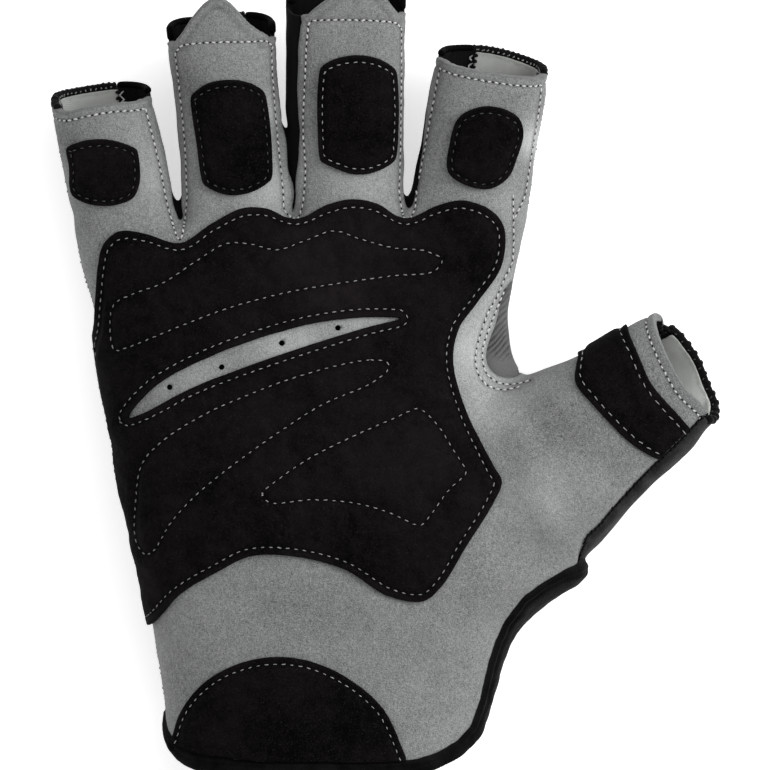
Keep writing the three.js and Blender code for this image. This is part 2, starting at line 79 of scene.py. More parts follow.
LAP_WIDTH = (0.5, 2.5)  # over which a panel grows thinner towards what it laps over
LINING_DEPTH = 16.0
STITCH_STEP = 0.5  # between the points of a row's line
SHORTEST_RUN = 3  # points that a row has to have more than
EDGE_MARK = "edge_mm"  # distance of a point from its piece's edge
STITCH_SHADE_MARK = "seam_mm"  # distance from the nearest row of stitches, or on the stretch insert a measure of its ruches' troughs, by which shade is painted
PAINTED_LIGHT_MARK = "brushed"  # how much lighter or darker a point's colour is painted: painted light and shade
NORMAL_MARK = "face_normal"  # the surface's normal along a seam


class Digit(Enum):
    """The five digits, named as in the CAD nodes."""

    PINKY = "pinky"
    RING = "ring"
    MIDDLE = "middle"
    INDEX = "index"
    THUMB = "thumb"

    @property
    def mark(self) -> str:
        """The mark that holds each point's distance before this digit's rim."""
        return f"rim_{self.value}"


class Ground(Enum):
    """What a row of stitches runs on, which decides how it looks, down to the painted shade in its stitch
    holes.
    """

    PALM = "palm"
    PATCH = "patch"
    BAND = "band"
    GREY = "grey"
    SEAM = "seam"


def tables(text: str) -> dict[str, list[Row]]:
    """Reads named tables that share their columns.

    Args:
        text: The columns' names in the first line, then each table's name and rows, a line each.

    Returns:
        The rows of each table, as numbers by column.
    """
    names, *lines = (line.split() for line in text.strip().splitlines())
    found: dict[str, list[Row]] = {}
    for line in lines:
        if line[0][0].isalpha():
            rows = found.setdefault(line[0], [])
        else:
            rows.append(dict(zip(names, map(float, line))))
    return found


def table(text: str) -> list[Row]:
    """Reads one table, whose first line names the columns."""
    columns, rows = text.strip().split("\n", 1)
    return tables(f"{columns}\nrows\n{rows}")["rows"]


def outlines(text: str) -> dict[str, Array]:
    """Reads named lines, each a name followed by the x,y of its points."""
    found: dict[str, list[list[str]]] = {}
    for word in text.split():
        if word[0].isalpha():
            points = found.setdefault(word, [])
        else:
            points.append(word.split(","))
    return {name: np.array(points, float) for name, points in found.items()}


# The hand's body: its edges, how much further the thumb's side reaches, and its heights
PALM = table("""
    y left right slant base side crown
    -22 -35.2 39.4 0 1.2 13 28.2
    -8 -35.6 40.8 0 1.2 13 29
    12 -36 43.2 0 1.2 13 30.5
    25 -37.4 46.4 0 1.2 13 32
    34 -38.8 49.8 0 1.2 13 33.5
    38 -39.3 52.6 0 1.2 13.5 34.2
    43 -40.4 57.8 0 1.2 14 35
    49 -41.4 66.4 0 1 15 35.6
    55 -42.7 68.7 0 0 15 36
    65 -44.8 68.4 0 -1.2 15 36
    75 -47.2 65 0 -1.2 15 35.5
    87 -49.2 60 0 -1.2 14 34
    97 -51.5 54.6 0 -1.2 13 32.3
    105 -52.8 50.4 0 -1.2 13 31
    114 -53.8 49.4 0 -1.2 13 29.8
    123 -56 50.2 2 -1 13 28.4
    129.5 -57.4 51.8 4 1.6 14 27.2
    135.8 -58.4 53 6 4.6 15 25.6
""")

# Sections of each digit from root to rim: its edges, height, thickness and upward curl in degrees
DIGITS = tables("""
    leftX leftY rightX rightY level thick curl
    pinky
    -53.5 113 -28 118.6 14 19 0
    -58.4 133.8 -32.9 139 15 19.5 5
    -61.6 150.4 -36.2 155.2 18 19 10
    -64.9 168.4 -40 170.2 21.2 18.5 15
    ring
    -29.5 116 -3 118.3 14 20 0
    -31.8 139.2 -4.9 141.4 15.3 20.5 6
    -32.5 157 -6.7 159 18.3 20 11
    -34.1 173.8 -8 175.4 22.4 19.5 16
    -35.5 185.6 -8.3 186.2 26 19 20
    -36.5 195.2 -8.8 195.8 29.5 19 20
    middle
    -2.5 118 23 117.6 14 20.5 0
    -4 140.6 23.2 140.4 15.3 21 6
    -5 160 23.6 159.8 18.9 20.5 12
    -5.3 178 23.8 177.8 23.4 20 16
    -5.3 193.4 23.8 193 28.4 19.5 20
    -5.3 203.4 23.7 203 32 19.5 20
    index
    23 120.4 49 115.6 14 19.5 0
    24.5 141.6 53.6 137 15.2 20.5 5
    27.2 157.4 56.2 152.4 18 20 10
    29.9 171.8 58.5 166.8 21.8 19.5 14
    31.6 180.2 59.3 175.6 24 19 16
    thumb
    30 89 58 49 18 30 0
    45.5 96.6 71.1 57.1 20 31 2
    61.6 102.6 80.2 67 22.2 28 6
    71.3 107.3 87.9 75.2 23.6 25 9
    79.6 112.1 95.2 81.9 25 22.5 12
    86.2 115.4 100 88.2 26.6 20.5 15
""")
TABBED = (Digit.RING, Digit.MIDDLE)  # their last row lies past the rim, under the pull tab

# Height of the seam that joins front and back
SEAM = table("""
    y z
    -40 13
    127 13
    140 14.6
    155 17.6
    170 21.2
    185 25.6
    220 37
""")

# Outlines seen from the palm side, each a closed smooth curve
OUTLINES = outlines("""
    palm_pad -66,88 -60,100 -56.6,106.5 -55,112 -54.5,117 -54,122 -53.4,127.5 -52,132.6 -48,136 -41,135.6
      -32.5,133.4 -25,138 -17,141.8 -11,142 -3.5,139.8 4,142.6 10.5,144 17,143 24,139.8 31,142.4 38,143.8
      45.5,141.2 48.8,137 48.3,127.5 42,118.2 37.5,112 36,104 39,92 45.5,78 47.8,73.5 46,68.5 39,57.3
      33,47.5 28.5,43.8 20,45 8.5,51.8 -4,55 -15,55 -23,51.2 -33,45.2 -41,37.5 -56,33 -66,66
    slit -45.8,89.6 -40,96.6 -28,103.6 -12.5,109.6 1,113.2 14,114.8 22.6,114.4 15.5,112.6 1,108.2 -14.5,103
      -29.5,97.2 -41,91.2
    finger_pad_pinky -61.3,156.1 -61.1,156.9 -57.3,158.3 -53.4,158.9 -49.4,158.7 -45.6,157.7 -43.2,156.6
      -42.8,155.9 -42.2,151.6 -42.5,147.4 -44,144.3 -47.5,142.7 -51.5,142.2 -56.1,142.9 -59.8,144.9
      -60.6,147.2 -60.6,152
    finger_pad_ring -30,169.4 -29.6,170.1 -26,172.5 -20.4,173.6 -15.2,173 -11.4,171.1 -10.8,170.2 -9.7,164
      -9.1,156 -9.2,149.4 -10,148.4 -14,146 -20,145 -25.8,147 -27,148.2 -28.6,158
    finger_pad_middle 2.3,175.9 2.6,176.7 5.3,178.4 9,179.4 13.4,179.6 17.6,178.7 21.3,176.7 22,175.7
      22.6,170 22.6,162 22,154.6 21.4,153.5 18.9,151.8 15,150.4 10.6,150.3 6,151.8 2.6,153.5 2.2,154.4
      1.7,162 1.7,170
    finger_pad_index 42.6,166.9 48.2,166.4 52.5,164 53.6,160.4 51.9,154 49.8,149.4 45,146.5 38.5,147.6
      34.3,150.9 34.7,158 36.9,164.2
    thumb_band 66.8,112 66.4,106 66,103.5 65.9,99 69.8,93.6 75.6,87.3 81,82.4 86.4,79 90,78 97,84 94.1,87.6
      88.6,93.6 84.5,99 82.3,103.9 79.5,110.4 76.6,118
    heel_patch -35.5,6 -34.6,11 -32.8,16 -28.6,21.6 -22,26.4 -13,29.4 -4,29.6 4,27.4 12,22.8 18.4,16.8
      22.4,9 24.6,0 14,-9 -20,-9
    gusset 50.6,124 48,119 46,112.4 44.2,107.6 43.8,104.6 44.6,102 47,99.9 50,99.5 52.4,100.2 54.6,103.4
      58,109 58,124
    side_edge 37,9 40.2,12.4 42.6,19 44.6,28 46.4,33.6 48.8,38.8 53.3,44.8 58.4,48.5 63.2,51.2 66.4,52.8
      69,54.4 76,54 60,20 46,4
    tab_ring -36.2,179 -35.4,181.6 -33.4,183.5 -31.6,185.6 -29.9,188.1 -28.2,190.2 -26.5,191.9 -24.4,193.2
      -22.4,193.5 -20.4,192.6 -18.6,191 -15.1,187.5 -12.6,185.8 -10.4,184.6 -7.6,182.7 -7.2,179
    tab_middle -2.4,185 -1.8,188.2 -0.2,190 2,191.7 5,193.7 8.5,196.3 11.5,197.7 14.6,197.1 18,194.7
      20.6,191.8 22.6,189.2 23.4,185
""")
ZONE_BASE = 9.0  # height from which the gusset and the side edge begin

# Closed rows of quilting on the palm pad
QUILTING = outlines("""
    knuckles -48.8,106.5 -50,112 -49,117.8 -44.2,120.5 -36.8,123.2 -28.2,128.8 -21,133 -15.2,133 -8.2,131.5
      -1.2,133.8 6,136.2 12.5,134.2 20.8,132 28.8,131.2 33,129 31,126.2 20.8,125 7.8,123.2 -5,121 -20.2,117
      -32.2,112.5 -46,107
    middle 15.5,104 19,103.5 19.8,102.2 15.8,98.5 3,92.8 -6.5,86.8 -15.5,80.5 -22.8,75 -29.2,69.5 -34.8,63.2
      -39.2,56.2 -41.2,55.5 -43.5,58.8 -43.5,68.8 -41.8,78.2 -36.2,84.2 -25.5,90.8 -16,95 -5,99.2 7.8,102.8
    thumb_root -11.8,70.5 -7.5,74.5 0.8,80 9.8,84.5 22.2,90 26.4,91.8 27.6,91.7 31.8,87.8 36,81.2 38.8,76.6
      38.8,75.6 34.8,71.8 29.8,65 27.8,62.9 26.6,62.9 20.2,65.8 12,68.2 0.8,69.2 -10,68.5
""")

# Rows on the grey suede: turning points between the fingers, the middle finger's left row, which keeps
# clear of the side strip, the rows across the pull tabs, and the two beside the stretch insert
ROWS = outlines("""
    crotches -32.6,134 -3.4,139.2 24.1,138.4
    middle_left -2.1,141.6 -1.4,146.8 -1.1,151 -1.3,155.4 -1.65,160 -1.7,164 -1.5,168.2 -1.3,172.5
      -1.05,176.8 -0.9,181
    tab_ring -33.4,180.6 -32.2,182.2 -28,182.9 -14.5,183.3 -10.6,183.4 -9.4,182
    tab_middle -0.5,185.6 0.1,188.1 4,188.6 18.6,188.3 21.6,187.8 22.9,186.2
    insert_outer 50.8,145 50.8,131 50.4,128 48.8,124.8 46.8,120 44.8,116.5 43.1,112 41.5,106 41.5,102.2
      43,98.8 45.2,97.2 48.2,96.5 52,97.2
    insert_inner 48.7,121.6 46.2,115.6 44.4,110.8 43.2,107.2 43.1,104 44,100.8 46.5,98.6 49.2,97.9 52.5,98.2
      55,98.9
""")

VENTS = table("""
    x y
    -35 97.2
    -22 102.2
    -7 108.2
    7 112
""")
VENT_RADIUS = 0.68

# The wrist's edge from the side: the heel of the palm reaches further than the back
MOUTH = table("""
    y z
    -0.6 70
    -0.6 30
    1.4 26
    6.6 21.5
    12.5 15
    14.5 8
    15 -20
""")
MOUTH_FILL = 3.0  # how much fuller the edge is on the little finger's side

# Bands of the side strips between two fingers: edges, foot, and head beside each finger
STRIPS = tables("""
    y left split right foot headLeft headRight
    pinky_ring
    133.6 -45 -32.2 -18 9 18.4 18.8
    140 -45.5 -32.6 -18 9.8 19.2 19.2
    147 -46 -33.2 -18 10.6 19 18.6
    160 -48 -34.9 -19 13.6 20.2 20.6
    175 -50 -37.4 -20 18.2 24.2 24.6
    200 -54 -40 -21.5 25 31 32
    ring_middle
    134.6 -18 -3.7 10 9 18.2 19.2
    143 -18 -4.1 10 10.2 19.6 20.9
    149.5 -18.4 -5 10 11.4 19.4 22.6
    156 -19 -5.7 10 12.7 19.4 24.8
    168 -19.6 -6.4 10 16 21.8 27.8
    181 -20.2 -6.9 10 19.8 25.6 31.4
    190 -20.7 -7.1 10 22.2 28.4 34.8
    205 -21.5 -7.4 10 26.4 33 41
    middle_index
    134.6 10 23.6 39 9 18.6 21.4
    140 10 24 39.4 9.8 18.8 21.8
    146 10 24.4 40 10.6 18.6 21.4
    155 10 25.2 41.4 12.6 19.6 22.5
    165 10 26.2 42.8 15.2 21.4 23.6
    175 10 27.2 44 18.2 24 24.8
    205 10 29.5 48 26.4 33.4 34
""")

# Where the front (side 1) or the back (side -1) reaches further than its rim's plane
LOBES = table("""
    x y reach width side
    -14 187 1.5 7 -1
    -33 186 0.5 4 -1
    -45 171 0.9 9 -1
    45 179 0.8 10 -1
    97.5 104 1.5 9 -1
    102 92 1 5 -1
    98 91 2.2 6 1
    88.5 115.5 -1.5 3.5 -1
    -62.2 164.5 -1.4 4.5 1
    -49 164.5 0.7 6 1
    -35.4 184.5 -2.4 3 1
    -8 185 -1.2 3 1
    -2.5 191.5 -2.2 3.4 1
    23.5 191 -2.2 3 1
""")

# Painted light and shade on the grey suede: lighter spots on the sides that face the key light, darker ones
# on the sides turned away
GREY_PAINTED_LIGHT = table("""
    x y radius share
    -39 150 8 0.45
    -45 164 5 0.12
    -61 158 5 -0.25
    -10 148 8 0.7
    -28 143 5 0.2
    -10 166 4.5 0.7
    -20 179 8 0.16
    46 120 9 0.55
    41 106 9 1
    44 91 7 0.45
    58 70 8 0.45
    60 85 6 -0.16
    55 159 4.5 1.2
    49 144 6 0.3
    13 147 8 0.42
    -33 172 6 -0.3
    -1 172 6 -0.08
    29 160 5 -0.04
    80 92 16 -0.2
    -6 43 14 -0.1
    -50 60 14 -0.06
    -28 98.5 8 0.4
    -5 107 9 0.7
    13 112.5 8 0.5
""")

# Painted light on the palm pad: lighter over its raised knuckles and thenar and across its middle
PAD_PAINTED_LIGHT = table("""
    x y radius share
    0 95 60 0.45
    4 127 17 1.3
    24 76 13 0.9
""")

# Painted light and shade on the lining of the thumb: a painted highlight on one part and painted shadow next
# to the front's rim
LINING_PAINTED_LIGHT = table("""
    x y radius share
    97 93 6 0.9
    84 113 9 -0.35
""")

# Soft folds of the grey suede, each along a line from one point to another
FOLDS = table("""
    x0 y0 x1 y1 height width
    54 91 74 76 -1.1 4.6
    53 84 60 62 0.8 4.4
    62 92 72 96 0.5 4
    46 60 56 52 -0.6 4
    16 43 40 32 0.7 5.5
    -22 44 8 38 -0.5 5
    30 24 38 40 -0.5 3.6
    -62 140 -38 143 -0.4 2.4
    28 148 52 145 -0.4 2.4
""")


def smooth_rows(rows: list[Row], steps: int) -> list[Row]:
    """Puts rows between a table's rows, on a smooth curve through each column.

    Args:
        rows: The table.
        steps: How many intervals each interval of the table becomes.

    Returns:
        The finer table.
    """
    grid = np.array([list(row.values()) for row in rows])
    slope = (np.vstack([grid[1:], grid[-1:]]) - np.vstack([grid[:1], grid[:-1]])) / 2
    t = (np.arange(steps) / steps)[None, :, None]
    share = 3 * t**2 - 2 * t**3
    level = (1 - share) * grid[:-1, None] + share * grid[1:, None]
    lean = (t**3 - 2 * t**2 + t) * slope[:-1, None] + (t**3 - t**2) * slope[1:, None]
    fine = np.vstack([(level + lean).reshape(-1, grid.shape[1]), grid[-1:]])
    return [dict(zip(rows[0], values)) for values in fine]


def along_y(y: Array, rows: list[Row], name: str) -> Array:
    """A table's column at some places along its column y."""
    return np.interp(y, [row["y"] for row in rows], [row[name] for row in rows])


def smoothstep(low: float, high: float, value: Array) -> Array:
    """Rises from 0 to 1 between two levels."""
    t = np.clip((value - low) / (high - low), 0, 1)
    return t * t * (3 - 2 * t)


def bell(distance: Array, width: float) -> Array:
    """Falls from 1 to nearly 0 over about two widths."""
    return np.exp(-((distance / width) ** 2))


def lowest(*fields: Array) -> Array:
    """The lowest of some fields at each point."""
    return np.minimum.reduce(fields)


def waves(points: Array, length: float, offset: Sequence[float] = (0, 0, 0)) -> Array:
    """Soft random waves at some points, between about -1 and 1."""
    return np.array([noise.noise(Vector(point) / length + Vector(offset)) for point in points])


def painted_light_spots(plan: Array, clouds: list[Row]) -> Array:
    """How much lighter or darker the colour is painted at each point, from soft round clouds: painted light
    and shade.
    """
    return sum(
        row["share"] * bell(np.hypot(*(plan - (row["x"], row["y"])).T), row["radius"])
        for row in clouds
    )


def soft_min(first: Array, second: Array, radius: float) -> Array:
    """The lower of two fields, with the corner between them rounded."""
    share = np.clip(0.5 + 0.5 * (second - first) / radius, 0, 1)
    return second + (first - second) * share - radius * share * (1 - share)


def smooth_outline(points: Sequence, spacing: float = 0.8, closed: bool = True) -> Array:
    """Samples a smooth curve through some points.

    Args:
        points: The curve's points.
        spacing: Distance between samples, roughly.
        closed: Whether the curve returns to its first point.

    Returns:
        The samples. A closed curve doesn't repeat its first one.
    """
    given = np.array(points, float)
    if closed:
        ring = np.vstack([given[-1:], given, given[:2]])
    else:
        ring = np.vstack([2 * given[:1] - given[1:2], given, 2 * given[-1:] - given[-2:-1]])
    samples = []
    for p0, p1, p2, p3 in zip(ring[:-3], ring[1:-2], ring[2:-1], ring[3:]):
        gaps = [max(np.linalg.norm(step), 1e-6) ** 0.5 for step in (p1 - p0, p2 - p1, p3 - p2)]
        k0, k1, k2, k3 = np.cumsum([0, *gaps])
        count = max(2, int(np.linalg.norm(p2 - p1) / spacing))
        t = (k1 + (k2 - k1) * np.arange(count) / count)[:, None]
        a1 = (k1 - t) / k1 * p0 + t / k1 * p1
        a2 = ((k2 - t) * p1 + (t - k1) * p2) / (k2 - k1)
        a3 = ((k3 - t) * p2 + (t - k2) * p3) / (k3 - k2)
        b1 = ((k2 - t) * a1 + t * a2) / k2
        b2 = ((k3 - t) * a2 + (t - k1) * a3) / (k3 - k1)
        samples.append(((k2 - t) * b1 + (t - k1) * b2) / (k2 - k1))
    if not closed:
        samples.append(given[-1:])
    return np.vstack(samples)


def looped(outline: Array) -> Array:
    """A closed outline with its first point repeated at its end."""
    return np.vstack([outline, outline[:1]])


def inset_outline(outline: Array, distance: float) -> Array:
    """Moves a closed outline inwards, or outwards by a negative distance."""
    after = np.roll(outline, -1, axis=0)
    area = 0.5 * float((outline[:, 0] * after[:, 1] - outline[:, 1] * after[:, 0]).sum())
    tangent = unit(after - np.roll(outline, 1, axis=0))
    inward = np.column_stack([-tangent[:, 1], tangent[:, 0]]) * np.sign(area)
    return outline + inward * distance


def chunks_near(points: Array, line: Array, reach: float) -> list[Array]:
    """Numbers of the points near a line's box, in portions that fit in memory."""
    near = ((points > line.min(0) - reach) & (points < line.max(0) + reach)).all(1).nonzero()[0]
    return np.array_split(near, max(1, len(near) // 3000)) if len(near) else []


def line_distance(points: Array, line: Array, reach: float = 12.0) -> Array:
    """Distance of each point to a polyline.

    Args:
        points: Points of the plane.
        line: The polyline.
        reach: The largest distance that is worked out.

    Returns:
        The distances, none above reach.
    """
    found = np.full(len(points), reach)
    start, step = line[:-1], line[1:] - line[:-1]
    length = np.maximum((step**2).sum(1), TINY)
    for chunk in chunks_near(points, line, reach):
        offset = points[chunk, None] - start
        t = np.clip((offset * step).sum(2) / length, 0, 1)
        gap = ((offset - t[..., None] * step) ** 2).sum(2).min(1)
        found[chunk] = np.minimum(reach, np.sqrt(gap))
    return found


def outline_distance(points: Array, outline: Array, reach: float = 12.0) -> Array:
    """Distance of each point to a closed outline, positive inside it and negative outside."""
    closed = looped(outline)
    distance = line_distance(points, closed, reach)
    inside = np.zeros(len(points), bool)
    start, end = closed[:-1], closed[1:]
    rise = np.where(end[:, 1] == start[:, 1], TINY, end[:, 1] - start[:, 1])
    for chunk in chunks_near(points, outline, 0.0):
        x, y = points[chunk, 0, None], points[chunk, 1, None]
        crosses = (start[:, 1] > y) != (end[:, 1] > y)
        left = x < start[:, 0] + (y - start[:, 1]) / rise * (end[:, 0] - start[:, 0])
        inside[chunk] = (crosses & left).sum(1) % 2 == 1
    return np.where(inside, distance, -distance)


def unit(vectors: Array) -> Array:
    """The vectors' directions."""
    return vectors / np.maximum(np.linalg.norm(vectors, axis=1, keepdims=True), TINY)


def gathered(total: Array, *additions: Run) -> Array:
    """Adds rows to others.

    Args:
        total: The rows to begin with.
        additions: Pairs of row numbers and what is added to those rows.

    Returns:
        The sums.
    """
    total = total.copy()
    for places, values in additions:
        for axis in range(3):
            total[:, axis] += np.bincount(places, values[:, axis], len(total))
    return total


def evened(values: Array, edges: Array, passes: int) -> Array:
    """Moves each point's values halfway to its neighbours' mean, several times over."""
    first, second = edges.T
    degree = np.bincount(edges.ravel(), minlength=len(values))
    for _ in range(passes):
        total = gathered(np.zeros_like(values), (first, values[second]), (second, values[first]))
        values = values + 0.5 * (total / degree[:, None] - values)
    return values


def point_normals(points: Array, faces: Array) -> Array:
    """The normal at each point of a triangulated surface.

    A point that has only slivers or folded faces beside it takes its neighbours' normal.
    """

    def summed(values: Array) -> Array:
        """The sum of the faces' values at each point."""
        return gathered(np.zeros_like(points), *((corner, values) for corner in faces.T))

    corners = points[faces]
    total = summed(np.cross(corners[:, 1] - corners[:, 0], corners[:, 2] - corners[:, 0]))
    around = summed(total[faces].sum(1))
    weak = (total * around).sum(1) < SLIVER * (around * around).sum(1)
    total[weak] = around[weak]
    return unit(total)


@dataclass
class Skin:
    """A triangulated surface in millimetres, with named values at its points.

    Attributes:
        points: Places of the points.
        faces: Three point numbers for each triangle.
        marks: Values at the points, such as the distance to a seam.
        hidden: How many faces look inwards. They follow as many outer ones.
    """

    points: Array
    faces: Array
    marks: dict[str, Array] = field(default_factory=dict)
    hidden: int = 0

    @property
    def plan(self) -> Array:
        """The points as seen from the palm side."""
        return self.points[:, :2]

    @property
    def normals(self) -> Array:
        """The normal at each point."""
        return point_normals(self.points, self.faces)

    @property
    def sides(self) -> Array:
        """The three sides of each triangle, as pairs of point numbers."""
        return self.faces[:, [0, 1, 1, 2, 2, 0]].reshape(-1, 2)

    def edges(self) -> Array:
        """Each edge once, as a pair of point numbers."""
        return np.unique(np.sort(self.sides, axis=1), axis=0)

    def each(self, change: Callable[[Array], Array]) -> "Skin":
        """The surface with its places and all its marks changed in one way."""
        marks = {name: change(values) for name, values in self.marks.items()}
        return Skin(change(self.points), self.faces, marks)

    def moved(self, distance: Array | float) -> "Skin":
        """The same surface moved along its normals."""
        shift = self.normals * np.reshape(distance, (-1, 1))
        return Skin(self.points + shift, self.faces, dict(self.marks))

    def mixed(self, first: Array, second: Array, share: Array) -> "Skin":
        """Points between pairs of points, at a share of the way from first to second."""
        return self.each(
            lambda v: v[first] + (v[second] - v[first]) * share.reshape(-1, *[1] * (v.ndim - 1))
        )

    def extended(self, more: "Skin", faces: Array) -> "Skin":
        """The points of this surface and then those of another one, under new faces."""
        marks = {name: np.concatenate([v, more.marks[name]]) for name, v in self.marks.items()}
        return Skin(np.vstack([self.points, more.points]), faces, marks)

    def compact(self, faces: Array) -> "Skin":
        """The surface with only these faces, and only the points that they use."""
        used, renumbered = np.unique(faces, return_inverse=True)
        smaller = self.each(lambda values: values[used])
        smaller.faces = renumbered.reshape(-1, 3)
        return smaller

    def trimmed(self, *cuts: tuple[str, int, float]) -> "Skin":
        """Cuts the surface by its marks, one after the other.

        Args:
            cuts: A mark, and a factor and an addend that make it positive on the part that stays.

        Returns:
            The part that stays.
        """
        skin = self
        for mark, factor, addend in cuts:
            skin = skin.clipped(factor * skin.marks[mark] + addend)
        return skin

    def clipped(self, values: Array, snap: float = 0.22) -> "Skin":
        """Cuts the surface where a field is zero.

        Args:
            values: The field at the points. The surface stays where it is positive.
            snap: Points nearer to the cut than this share of an edge move onto it.

        Returns:
            The part that stays, with the field's zero line as its edge.
        """
        values = np.array(values, float)
        work = self.each(np.copy)
        a, b = self.edges().T
        cross = np.flatnonzero(values[a] * values[b] < 0)
        a, b = a[cross], b[cross]
        share = values[a] / (values[a] - values[b])
        near_a, near_b = share < snap, share > 1 - snap
        point = np.concatenate([a[near_a], b[near_b]])
        other = np.concatenate([b[near_a], a[near_b]])
        step = np.concatenate([share[near_a], 1 - share[near_b]])
        order = np.argsort(-step)
        point, other, step = point[order], other[order], step[order]
        found = self.mixed(point, other, step)
        work.points[point] = found.points
        for name, mark in found.marks.items():
            work.marks[name][point] = mark
        values[point] = 0.0
        return work._split(values)

    def _split(self, values: Array) -> "Skin":
        """Cuts the triangles that a field's zero line crosses between their corners."""
        sign = np.sign(values).astype(int)
        corner = sign[self.faces]
        above, below = (corner > 0).any(1), (corner < 0).any(1)
        torn, torn_sign = self.faces[above & below], corner[above & below]
        ups, downs = (torn_sign > 0).sum(1), (torn_sign < 0).sum(1)
        made = [self.faces[above & ~below]]
        cuts: list[Array] = []

        def turned(mask: Array, first: int) -> Array:
            """Corners of the triangles of one kind, from the one with a given sign on."""
            place = np.argmax(torn_sign[mask] == first, axis=1)
            return np.take_along_axis(torn[mask], (place[:, None] + np.arange(3)) % 3, axis=1).T

        def cut(first: Array, second: Array) -> Array:
            """Numbers of the new points on some edges, still to be merged."""
            start = len(self.points) + sum(len(pairs) for pairs in cuts)
            cuts.append(np.sort(np.column_stack([first, second]), axis=1))
            return np.arange(start, start + len(first))

        a, b, c = turned((ups == 1) & (downs == 2), 1)
        made.append(np.column_stack([a, cut(a, b), cut(a, c)]))
        a, b, c = turned((ups == 2) & (downs == 1), -1)
        left, right = cut(a, b), cut(a, c)
        made += [np.column_stack([left, b, c]), np.column_stack([left, c, right])]
        a, b, c = turned((ups == 1) & (downs == 1), 0)
        rising, middle = sign[b] > 0, cut(b, c)
        made.append(np.column_stack([a, b, middle])[rising])
        made.append(np.column_stack([a, middle, c])[~rising])
        pairs = np.vstack(cuts)
        if not len(pairs):
            return self.compact(made[0])
        (first, second), number = unique_rows(pairs)
        new = self.mixed(first, second, values[first] / (values[first] - values[second]))
        count = len(self.points)
        lookup = np.concatenate([np.arange(count), count + number])
        return self.extended(new, self.faces).compact(lookup[np.vstack(made)])

    def refined(self) -> "Skin":
        """Each triangle cut in four, with the new points on the curved surface."""
        (first, second), number = unique_rows(np.sort(self.sides, axis=1))
        normals, count = self.normals, len(self.points)
        new = self.mixed(first, second, np.full(len(first), 0.5))
        step = self.points[second] - self.points[first]
        lean_first = (step * normals[first]).sum(1, keepdims=True) * normals[first]
        lean_second = (-step * normals[second]).sum(1, keepdims=True) * normals[second]
        new.points -= (lean_first + lean_second) / 8
        a, b, c = self.faces.T
        ab, bc, ca = number.reshape(-1, 3).T + count
        corners = ((a, ab, ca), (ab, b, bc), (ca, bc, c), (ab, bc, ca))
        return self.extended(new, np.vstack([np.column_stack(three) for three in corners]))

    def border(self) -> Array:
        """The edges with a face on one side only, each in its face's direction."""
        pairs, count = self.sides, len(self.points)
        return pairs[~np.isin(pairs @ (count, 1), pairs @ (1, count))]

    def border_runs(self, kept: Array) -> list[Run]:
        """The stretches of the edge whose points are all kept.

        Args:
            kept: Whether each point counts.

        Returns:
            Points and normals of each stretch, in order.
        """
        follow = {start: end for start, end in self.border().tolist() if kept[start] and kept[end]}
        normals, runs = self.normals, []
        for start in sorted(set(follow) - set(follow.values())):
            run = [start]
            while run[-1] in follow and len(run) <= len(follow):
                run.append(follow[run[-1]])
            runs.append((self.points[run], normals[run]))
        return long_runs(runs)

    def shell(self, thickness: Array | float, bulge: float, steps: int = 5) -> "Skin":
        """Gives the surface a wall below it, with a rounded edge.

        Args:
            thickness: The wall's thickness, for all points or each.
            bulge: How far the rounded edge stands out past the surface.
            steps: Facets of the rounded edge.

        Returns:
            A closed skin.
        """
        normals, count = self.normals, len(self.points)
        depth = np.broadcast_to(np.asarray(thickness, float), (count,))[:, None]
        border = self.border()
        rim, local = np.unique(border, return_inverse=True)
        start, end = local.reshape(-1, 2).T
        run = self.points[border[:, 1]] - self.points[border[:, 0]]
        outward = np.cross(run, normals[border[:, 0]])
        side = gathered(np.zeros((len(rim), 3)), (start, outward), (end, outward))
        for _ in range(3):
            side = gathered(side, (start, side[end]), (end, side[start]))
        side = unit(side)
        points = [self.points, self.points - normals * depth]
        rings = [rim]
        for step in range(1, steps):
            angle = math.pi * step / steps
            drop = depth[rim] * (1 - math.cos(angle)) / 2
            points.append(self.points[rim] - normals[rim] * drop + side * bulge * math.sin(angle) ** 0.8)
            rings.append(2 * count + (step - 1) * len(rim) + np.arange(len(rim)))
        rings.append(rim + count)
        faces = [self.faces, self.faces[:, ::-1] + count]
        for upper, lower in zip(rings[:-1], rings[1:]):
            faces.append(np.column_stack([upper[end], upper[start], lower[start]]))
            faces.append(np.column_stack([upper[end], lower[start], lower[end]]))
        origin = np.concatenate([np.arange(count), np.arange(count)] + [rim] * (steps - 1))
        marks = {name: values[origin] for name, values in self.marks.items()}
        return Skin(np.vstack(points), np.vstack(faces), marks, len(self.faces))

